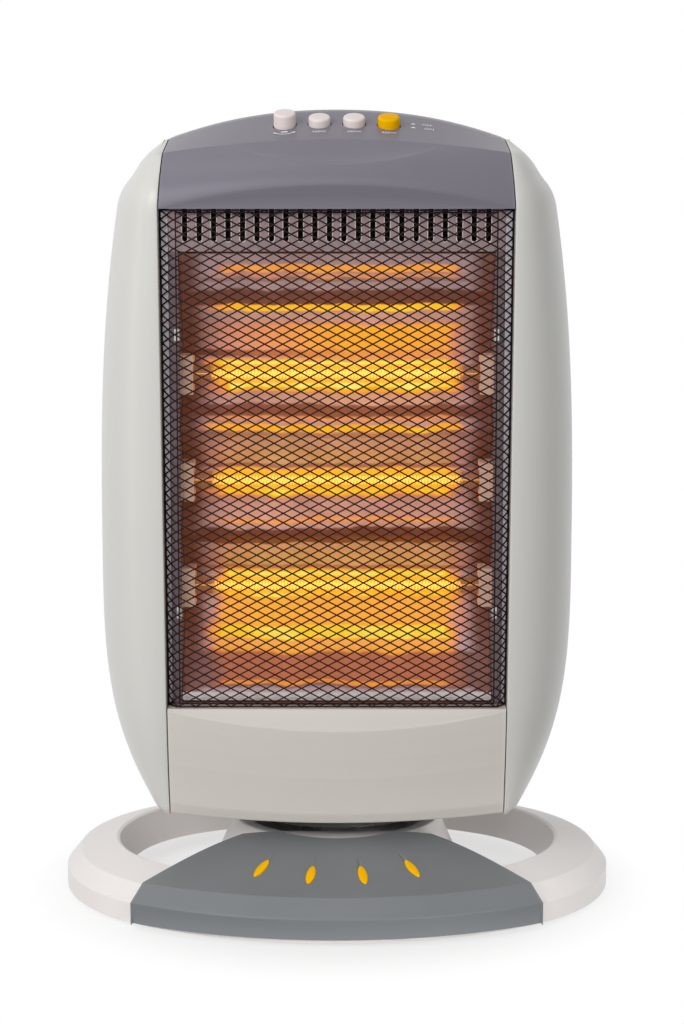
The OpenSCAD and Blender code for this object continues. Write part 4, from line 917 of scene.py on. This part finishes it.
grille_paint = moulded("grille_paint", srgb(32, 12, 13), gloss=0.5, grain=2600.0, blotch=0.5, wear=0.1,
                       bump=0.2, Specular_IOR_Level=0.18)
slope = diamond_high / diamond_wide
strands = []
for sign in (1, -1):
    for k in range(-diamond_columns - 1, diamond_rows + 1):
        ends = [(along, mesh_low + k * diamond_high + slope * (sign * along + mesh_half))
                for along in (-mesh_half, mesh_half)]
        (low_x, low_z), (high_x, high_z) = sorted(ends, key=lambda end: end[1])
        if low_z >= mesh_high or high_z <= mesh_low:
            continue
        run, rise = high_x - low_x, high_z - low_z
        first, last = max(0.0, (mesh_low - low_z) / rise), min(1.0, (mesh_high - low_z) / rise)
        folds = [(fold - low_x) / run for fold in (-grille_fold, grille_fold)]
        stops = sorted({first, last, *(share for share in folds if first < share < last)})
        if stops[-1] - stops[0] >= 1e-4:
            strands.append([folded(low_x + run * share, low_z + rise * share) for share in stops])
strands += [[folded(along, mesh_low), folded(along, mesh_high)] for along in (-mesh_half, mesh_half)]
strands += [[folded(along, z) for along in (-mesh_half, -grille_fold, grille_fold, mesh_half)]
            for z in (mesh_low, mesh_high)]
fit(wire("grille_strands", strand_radius, 1, grille_paint, strands), "head", "grille_paint", "grille_mesh")

# Flat knots where the strands meet
knot_half, knot_deep = 1.15, 0.36
knot_outline = [(-1, 0), (-0.35, -0.5), (0.35, -0.5), (1, 0), (0.35, 0.5), (-0.35, 0.5)]
knot_faces = [tuple(range(6))[::-1], tuple(range(6, 12))]
knot_faces += [(i, (i + 1) % 6, (i + 1) % 6 + 6, i + 6) for i in range(6)]
knots = []
for row in range(2 * diamond_rows + 1):
    odd = row % 2
    for column in range(diamond_columns + 1 - odd):
        along, z = -mesh_half + (column + 0.5 * odd) * diamond_wide, mesh_low + row * diamond_high / 2
        if abs(abs(along) - grille_fold) < 2 or abs(along) > mesh_half - 2:
            continue
        middle = Vector(folded(along, z))
        aside = Vector(folded(along + knot_half, z)) - middle
        knots.append(([tuple(middle + aside * side + Vector((0, deep, high)))
                       for deep in (-knot_deep, knot_deep) for side, high in knot_outline], knot_faces))
fit(piece("grille_knots", *merge(*knots), grille_paint, mixed_faces=False), "head", "grille_paint")
edge_path = [(x, -wire_reach, z) for x, z in oblong(wire_half, grille_low + 2, grille_high - 2)]
edge_wire = wire("grille_edge_wire", edge_wire_radius, 3, grille_paint, [edge_path], closed=True)
fit(edge_wire, "head", "grille_paint", "grille_frame")
dress("grille_clips", zinc_steel)

# ---- Lamp chamber ----
# Folded sheet steel round the lamps: a pale slotted plate above, dark end plates and a heat
# shield behind. The metal near the lamps is tinted by heat.
slot_count, slot_pitch, slot_low, slot_long, slot_radius, rim_radius = 22, 8.73, 417.0, 24.0, 1.5, 0.34
chamber_front, plate_low_edge, plate_high_edge, plate_half, baffle_half = 63.8, 411.0, 450.0, 101.5, 95
strip_inner, strip_low, strip_high, floor_strip_half = 101.8, 133, 436, 95.5


def slot_path(k, radius):
    """The sides and the round foot of a slot as [across, height], at a distance from its middle."""
    x, foot = (k - (slot_count - 1) / 2) * slot_pitch, slot_low + slot_radius
    turns = [math.pi * s / 8 for s in range(9)]
    path = [(x - radius * math.cos(turn), foot - radius * math.sin(turn)) for turn in turns]
    return [(x - radius, foot + slot_long)] + path + [(x + radius, foot + slot_long)]


plate_metal = finish("plate_metal", metal_group,
                     {"Colour": srgb(164, 144, 146), "Heat Colour": srgb(126, 100, 100), "Gloss": 0.38,
                      "Grain Size": 60.0, "Heat Tint": 0.6}, bump=0.12, Metallic=0.7)
plate = upright(oblong(plate_half, plate_low_edge, plate_high_edge), -chamber_front, -chamber_front + 0.8)
vent_plate = piece("slotted_plate", *plate, plate_metal)
carve(vent_plate, *(upright(slot_path(k, slot_radius), -chamber_front - 3, -chamber_front + 3)
                    for k in range(slot_count)))
fit(vent_plate, "head", "chamber_steel", "vent_plate")
# A black sheet behind the slots: it blocks the lamps' light, and its black paints the shade inside the head
painted_shade_black = moulded("painted_shade_black", srgb(12, 11, 11), gloss=0.8, grain=1800.0, blotch=0.3, wear=0.1,
                      dust=0.02, bump=0.1, Specular_IOR_Level=0.2)
baffle = upright(oblong(baffle_half, plate_low_edge + 1, plate_high_edge - 1), -58.0, -57.2)
fit(piece("slot_baffle", *baffle, painted_shade_black), "head", "chamber_steel")
# The slot rims use a much paler copy of the plate's metal: painted highlights along the slot edges
rim_metal = finish("rim_metal", metal_group,
                   {"Colour": srgb(246, 238, 236), "Heat Colour": srgb(206, 186, 182), "Gloss": 0.3,
                    "Grain Size": 90.0, "Heat Tint": 0.3}, bump=0.08, Metallic=0.35)
rim_paths = [[(x, -chamber_front, z) for x, z in slot_path(k, slot_radius + 0.38)] for k in range(slot_count)]
fit(wire("slot_rims", rim_radius, 1, rim_metal, rim_paths), "head", "chamber_steel")

chamber_steel = finish("chamber_steel", metal_group,
                       {"Colour": srgb(138, 122, 128), "Heat Colour": srgb(104, 82, 80), "Gloss": 0.5,
                        "Grain Size": 80.0, "Heat Tint": 0.6}, bump=0.15, Metallic=0.25)
for node in ("left_end_plate", "right_end_plate", "heat_shield", "deck_plate"):
    dress(node, chamber_steel)

# Turned-out edges of the chamber: two pale strips behind the folded sides of the grille and one below
strip_steel = finish("strip_steel", metal_group,
                     {"Colour": srgb(206, 204, 212), "Heat Colour": srgb(176, 160, 164), "Gloss": 0.42,
                      "Grain Size": 120.0, "Heat Tint": 0.5}, bump=0.1, Metallic=0.25)
for name, sign in (("side_strip_left", -1), ("side_strip_right", 1)):
    shape = [(sign * strip_inner, strip_low), (sign * (seam_half(strip_low) - 0.5), strip_low),
             (sign * (seam_half(strip_high) - 0.5), strip_high), (sign * strip_inner, strip_high)]
    strip = upright(soften(shape, 0.4, 2, closed=True), -64.6, -63.9)
    fit(piece(name, *strip, strip_steel), "head", "chamber_steel")
strip = upright(soften(oblong(floor_strip_half, 134, 139.4), 0.4, 2, closed=True), -63.4, -62.7)
fit(piece("floor_strip", *strip, rim_metal), "head", "chamber_steel")

# ---- Reflector ----
# One sheet of polished aluminium bent into three troughs, one behind each lamp. The sheet is bent
# only near the lamps and straight from there to the ridges. Its metal is a pale pink. Its emission paints the
# lamps' mirror images as glowing bands, with painted dark reflections and shade between them.
lamp_height, lamp_pitch, lamp_reach = 269.3, 66.0, 45.0
reflector_back, reflector_ridge, wing_reach, reflector_half = 20.0, 55.0, 61.2, 95.7
wing_high = plate_low_edge - 1 - (lamp_height + lamp_pitch)
wing_low = lamp_height - lamp_pitch - 133.5
bent_share, wing_steps, trough_steps, sheet_columns, sheet_wall = 0.41, 40, 48, 24, 0.9


def trough_reach(t, reach):
    """How far the sheet stands at a share of the way from a lamp to the edge of its trough."""
    bend = t * t if t < bent_share else bent_share * (2 * t - bent_share)
    return -reflector_back - (reach - reflector_back) * bend / (bent_share * (2 - bent_share))


trough = [(trough_reach(k / wing_steps, wing_reach), lamp_height - lamp_pitch - wing_low * k / wing_steps)
          for k in range(wing_steps, 0, -1)]
for lamp in (-1, 0):
    for k in range(trough_steps):
        t = k / trough_steps
        trough.append((trough_reach(2 * min(t, 1 - t), reflector_ridge),
                       lamp_height + (lamp + t) * lamp_pitch))
trough += [(trough_reach(k / wing_steps, wing_reach), lamp_height + lamp_pitch + wing_high * k / wing_steps)
           for k in range(wing_steps + 1)]
# Painted reflections of the sheet, as bright and dark bands: the bright ones paint the lamps' mirror images
# as emission, and the dark ones paint darker reflections and shade. They lie at fixed heights of each trough.
# Columns:
# height, half height, soft edge, strength in the middle, and how much stronger it is at the right.
painted_bright_bands = [
    (400.2, 1.5, 2.0, 0.6, 0.1), (395.4, 0.6, 1.6, 0.42, 0.5), (375.6, 1.5, 1.5, 0.82, 0.06),
    (356.5, 7.0, 3.5, 0.68, 0.85), (346.0, 2.5, 1.5, 0.5, 1.1), (332.8, 7.6, 3.4, 0.96, -0.02),
    (324.0, 1.0, 2.0, 0.72, 0.0), (302.6, 1.5, 1.4, 0.74, 0.0), (307.9, 0.5, 1.2, 0.38, -0.05),
    (265.6, 6.4, 4.0, 0.84, 0.0), (244.4, 0.5, 1.2, 0.48, 0.0), (200.4, 7.0, 4.6, 0.92, 0.0),
    (182.0, 9.5, 3.5, 0.66, 0.0), (171.2, 3.2, 2.4, 0.9, 0.02), (163.5, 2.2, 4.0, 0.62, 0.0),
    (152.0, 7.0, 5.0, 0.24, 0.0), (143.4, 0.7, 1.3, 0.5, 0.0)]
painted_dark_bands = [
    (382.0, 4.0, 2.2, 0.9, 0.0), (346.0, 1.2, 2.2, 0.6, -0.5), (312.0, 2.4, 2.0, 0.85, 0.0),
    (275.6, 0.6, 1.6, 0.6, 0.0), (235.4, 4.0, 1.6, 0.95, 0.0), (211.6, 0.4, 1.8, 0.5, 0.0),
    (393.6, 0.6, 1.4, 0.4, 0.0), (298.0, 0.8, 1.6, 0.3, 0.0), (151.0, 9.0, 3.0, 0.8, 0.0)]
strong_lean = 0.3
tree, start, end = new_group(
    "painted_lamp_reflections",
    [("Colour", COLOUR, (0.8, 0.7, 0.65, 1)), ("Dark Colour", COLOUR, (0.15, 0.06, 0.04, 1)),
     ("Gloss", VALUE, 0.2), ("Half Length", VALUE, 0.078)],
    [("Base Color", COLOUR), ("Emission Color", COLOUR), ("Roughness", VALUE), ("Bump Height", VALUE)])
painted_reflection_group, given = tree, start.outputs
place = add_node(tree, "ShaderNodeTexCoord").outputs["Object"]
split = add_node(tree, "ShaderNodeSeparateXYZ", in_0=place).outputs
lengthwise = add_node(tree, "ShaderNodeVectorMath", operation="MULTIPLY", in_0=place, in_1=(1.0, 1.0, 0.35))
ripple = add_node(tree, "ShaderNodeTexNoise", in_Vector=lengthwise.outputs[0], in_2=42.0, in_3=3.0).outputs[0]
uneven = calc(tree, ripple, "-", 0.5)
height = calc(tree, calc(tree, split[2], "*", 1000.0), "+", calc(tree, uneven, "*", 7.0))
across = calc(tree, split[0], "/", given["Half Length"])
off_middle = calc(tree, across, "abs")


def strongest_band(bands):
    """The strongest of a set of soft bands at this height. A strong lean only fades towards the left."""
    total = None
    for middle, half, soft, strength, lean in bands:
        away = calc(painted_reflection_group, calc(painted_reflection_group, height, "-", middle), "abs")
        band = add_node(painted_reflection_group, "ShaderNodeMapRange", interpolation_type="SMOOTHSTEP",
                        in_0=away, in_1=half, in_2=half + soft, in_3=strength, in_4=0.0)
        side = calc(painted_reflection_group, calc(painted_reflection_group, across, "*", lean), "+", 1.0, clamp=lean > strong_lean)
        here = calc(painted_reflection_group, band.outputs[0], "*", side)
        total = here if total is None else calc(painted_reflection_group, total, "max", here)
    return total


# The painted lamp images fade out past the ends of the coils
lamp_ends = add_node(tree, "ShaderNodeMapRange", interpolation_type="SMOOTHSTEP",
                     in_0=calc(tree, off_middle, "+", calc(tree, uneven, "*", 0.5)),
                     in_1=0.84, in_2=1.09, in_3=1.0, in_4=0.0)
images = calc(tree, strongest_band(painted_bright_bands), "*", lamp_ends.outputs[0])
glow = calc(tree, images, "*", calc(tree, calc(tree, uneven, "*", 0.45), "+", 1.0), clamp=True)
# Colour of the painted glow. Its lowest stop paints a faint orange glow over the whole sheet
glow_colour = add_node(tree, "ShaderNodeValToRGB", in_0=glow)
stops = glow_colour.color_ramp.elements
stops[0].position, stops[0].color = 0.0, (0.05, 0.014, 0.002, 1)
stops[1].position, stops[1].color = 1.0, (1.0, 0.84, 0.16, 1)
for position, colour in ((0.25, (0.34, 0.08, 0.012, 1)), (0.5, (0.72, 0.24, 0.012, 1)),
                         (0.7, (0.93, 0.38, 0.015, 1)), (0.86, (0.95, 0.56, 0.018, 1))):
    stops.new(position).color = colour
# Painted shade: the sheet darkens beyond the ends of the lamps
beyond = add_node(tree, "ShaderNodeMapRange", interpolation_type="SMOOTHSTEP",
                  in_0=off_middle, in_1=1.0, in_2=1.16)
darkness = calc(tree, strongest_band(painted_dark_bands), "max", calc(tree, beyond.outputs[0], "*", 0.8), clamp=True)
metal_tone = add_node(tree, "ShaderNodeMix", data_type="RGBA", in_0=darkness, in_6=given["Colour"],
                      in_7=given["Dark Colour"])
# The metal is darker under the painted glow
bare = calc(tree, 1.0, "-", calc(tree, glow, "*", 1.35), clamp=True)
shade = calc(tree, bare, "*", calc(tree, calc(tree, uneven, "*", 0.7), "+", 1.0))
metal_shade = add_node(tree, "ShaderNodeHueSaturation", in_Color=metal_tone.outputs[2], in_Value=shade)
feed(tree, end, in_Base_Color=metal_shade.outputs[0], in_Emission_Color=glow_colour.outputs[0],
     in_Roughness=calc(tree, given["Gloss"], "+", calc(tree, uneven, "*", 0.2)), in_Bump_Height=ripple)
# The sheet's emission carries its painted reflections of the lamps. The sheet is no lamp
reflector_metal = finish("reflector_metal", painted_reflection_group,
                         {"Colour": srgb(214, 196, 206), "Dark Colour": srgb(118, 64, 50), "Gloss": 0.42},
                         bump=0.05, Metallic=0.5, Emission_Strength=1.0)
sheet_lines = []
for column in range(sheet_columns + 1):
    x = reflector_half * (2 * column / sheet_columns - 1)
    # The thin sheet is never quite flat, which makes the mirrored lamps uneven
    sheet_lines.append([(x, y + (0.28 * math.sin(x / 21 + z / 26) + 0.2 * math.sin(x / 37 - z / 17 + 1.3)), z)
                        for y, z in trough])
reflector_sheet = sheet("reflector_sheet", sheet_lines, reflector_metal)
thicken(reflector_sheet, sheet_wall, (0, -400, 270))
reflector_sheet.data.flip_normals()
fit(reflector_sheet, "head", "reflector_metal", "reflector")

# ---- Lamps ----
# Three quartz tubes with a coiled wire that glows yellow, each end held in a ceramic block that
# is riveted to the end plate.
tube_radius, tube_wall, tube_length = 6.0, 1.0, 186.0
coil_length, coil_turns, coil_radius, coil_wire, turn_steps = 156.0, 78, 2.6, 0.42, 10
coil_steps = coil_turns * turn_steps
tree, start, end = new_group(
    "glow",
    [("Hot", COLOUR, (1, 0.6, 0.1, 1)), ("Cool", COLOUR, (1, 0.25, 0.02, 1)), ("Half Length", VALUE, 0.078)],
    [("Base Color", COLOUR), ("Emission Color", COLOUR), ("Roughness", VALUE)])
heat_group, given = tree, start.outputs
place = add_node(tree, "ShaderNodeTexCoord").outputs["Object"]
split = add_node(tree, "ShaderNodeSeparateXYZ", in_0=place).outputs
reach = calc(tree, calc(tree, split[0], "abs"), "/", given["Half Length"])
ripple = add_node(tree, "ShaderNodeTexNoise", in_Vector=place, in_2=160.0, in_3=2.0).outputs[0]
cooling = calc(tree, calc(tree, reach, "^", 24.0), "+", calc(tree, ripple, "*", 0.2), clamp=True)
warmth = add_node(tree, "ShaderNodeMix", data_type="RGBA", in_0=cooling, in_6=given["Hot"],
                  in_7=given["Cool"])
feed(tree, end, in_Base_Color=warmth.outputs[2], in_Emission_Color=warmth.outputs[2],
     in_Roughness=calc(tree, cooling, "*", 0.3))
coil_glow = finish("coil_glow", heat_group, {"Hot": (1.0, 0.74, 0.17, 1), "Cool": (1.0, 0.42, 0.02, 1)},
                   Emission_Strength=1.25)
# The quartz glows faintly orange by itself: painted light for the coil's light caught in the glass
quartz = finish("quartz", heat_group, {"Hot": (1.0, 0.5, 0.015, 1), "Cool": (0.26, 0.1, 0.03, 1)},
                Emission_Strength=0.45, Alpha=0.34, IOR=1.46, Specular_IOR_Level=0.8)
ceramic = moulded("ceramic", srgb(246, 200, 174), gloss=0.6, grain=1100.0, blotch=0.3, wear=0.1, dust=0.2,
                  bump=0.3)
tube_profile = soften([(tube_radius - tube_wall, 0), (tube_radius, 0), (tube_radius, tube_length),
                       (tube_radius - tube_wall, tube_length)], 0.4, 2, closed=True)
for i in range(1, 4):
    lamp_z = lamp_height + (2 - i) * lamp_pitch
    lie_down = (Matrix.Translation((-tube_length / 2, -lamp_reach, lamp_z))
                @ Matrix.Rotation(math.pi / 2, 4, "Y"))
    tube = piece(f"quartz_tube_{i}", *placed(revolve(tube_profile, 48), lie_down), quartz)
    fit(tube, "head", "quartz", f"tube_{i}")
    # A straight wire at each end, and a coil that widens over its first turn
    path = [(-tube_length / 2 + 0.5, -lamp_reach, lamp_z)]
    for k in range(coil_steps + 1):
        angle = 2 * math.pi * k / turn_steps
        radius = coil_radius * min(1.0, min(k, coil_steps - k) / turn_steps)
        path.append((coil_length * (k / coil_steps - 0.5), radius * math.cos(angle) - lamp_reach,
                     radius * math.sin(angle) + lamp_z))
    path.append((tube_length / 2 - 0.5, -lamp_reach, lamp_z))
    fit(wire(f"coil_{i}", coil_wire, 0, coil_glow, [path]), "head", "coil_wire", f"filament_{i}")
for i in range(1, 7):
    dress(f"holder_{i}", ceramic)

# ---- Small parts inside the head ----
# The switch block under the buttons, the heat cut-out on the end plate, the tilt switch and the
# terminal block on the chassis: plain dark or cream mouldings behind the shells.
for node in ("switch_block", "thermal_cutout", "tilt_switch"):
    dress(node, dark_plastic)
dress("terminal_block", pale_plastic)

# ---- Floor, light and camera ----
# A plain white studio floor with a faint shadow that fades away from the heater, soft light from
# large panels, and the camera at the photograph's viewing angle. Lengths here are in metres.
floor_side, floor_far, fade_near, fade_far, near_white = 6, 9, 0.13, 0.21, 0.62
floor_glow, ambient_light, pure_white = 0.4, 0.38, (1, 1, 1, 1)


def seen_rays(tree):
    """One for rays from the camera, mirrors and glass, and zero for the rays that light surfaces."""
    ray = add_node(tree, "ShaderNodeLightPath").outputs
    mirrored = calc(tree, ray["Is Glossy Ray"], "max", ray["Is Transmission Ray"])
    return calc(tree, ray["Is Camera Ray"], "max", mirrored)


floor_mesh = bpy.data.meshes.new("floor")
floor_mesh.from_pydata([(x, y, 0) for x, y in oblong(floor_side, -floor_side, floor_far)], [], [(0, 1, 2, 3)])
floor = bpy.data.objects.new("floor", floor_mesh)
collection.objects.link(floor)
floor_paper = bpy.data.materials.new("floor_paper")
floor_paper.use_nodes = True
tree = floor_paper.node_tree
tree.nodes.clear()
paper = add_node(tree, "ShaderNodeBsdfDiffuse", in_0=(0.9, 0.885, 0.88, 1))
glow_level = add_node(tree, "ShaderNodeMapRange", in_0=seen_rays(tree), in_3=floor_glow)
white = add_node(tree, "ShaderNodeEmission", in_0=pure_white, in_1=glow_level.outputs[0])
place = add_node(tree, "ShaderNodeTexCoord").outputs["Object"]
distance = add_node(tree, "ShaderNodeVectorMath", operation="LENGTH", in_0=place).outputs["Value"]
fade = add_node(tree, "ShaderNodeMapRange", interpolation_type="SMOOTHSTEP", in_0=distance,
                in_1=fade_near, in_2=fade_far, in_3=near_white)
blend = add_node(tree, "ShaderNodeMixShader", in_0=fade.outputs[0], in_1=paper.outputs[0],
                 in_2=white.outputs[0])
add_node(tree, "ShaderNodeOutputMaterial", in_0=blend.outputs[0])
floor_mesh.materials.append(floor_paper)

world = bpy.data.worlds.new("studio")
world.use_nodes = True
bpy.context.scene.world = world
tree = world.node_tree
tree.nodes.clear()
seen = add_node(tree, "ShaderNodeBackground", in_0=pure_white, in_1=1.0)
ambient = add_node(tree, "ShaderNodeBackground", in_0=pure_white, in_1=ambient_light)
choose = add_node(tree, "ShaderNodeMixShader", in_0=seen_rays(tree), in_1=ambient.outputs[0],
                  in_2=seen.outputs[0])
add_node(tree, "ShaderNodeOutputWorld", in_0=choose.outputs[0])

# Each panel: its place, the point it faces, its width and height, its watts and its spread in degrees
for name, place, target, wide, high, power, spread in (
        ("key_panel", (-1.0, -1.5, 1.1), (0, 0, 0.25), 0.9, 0.9, 14.0, 180),
        ("front_panel", (-0.1, -1.8, 0.95), (0, 0, 0.2), 1.1, 0.6, 5.2, 180),
        ("left_strip", (-1.2, -0.3, 0.6), (0, 0, 0.25), 0.5, 1.4, 2.2, 180),
        ("top_panel", (-0.4, -0.15, 1.7), (0, 0, 0.3), 0.6, 0.6, 1.3, 180),
        ("ring_panel", (0.62, -0.85, 0.05), (0.14, -0.06, 0.012), 0.5, 0.05, 0.05, 12)):
    lamp = bpy.data.lights.new(name, "AREA")
    lamp.shape = "RECTANGLE"
    lamp.size, lamp.size_y, lamp.energy, lamp.spread = wide, high, power, math.radians(spread)
    panel = bpy.data.objects.new(name, lamp)
    panel.location = place
    panel.rotation_euler = (Vector(target) - Vector(place)).to_track_quat("-Z", "Y").to_euler()
    collection.objects.link(panel)

camera_data = bpy.data.cameras.new("camera")
camera_data.lens, camera_data.sensor_width = 87.9, 36
camera = bpy.data.objects.new("camera", camera_data)
camera.location = (0.0032, -1.58, 0.477)
camera.rotation_euler = (math.radians(81.56), 0, 0)
collection.objects.link(camera)
bpy.context.scene.camera = camera
bpy.context.scene.view_settings.view_transform = "Standard"
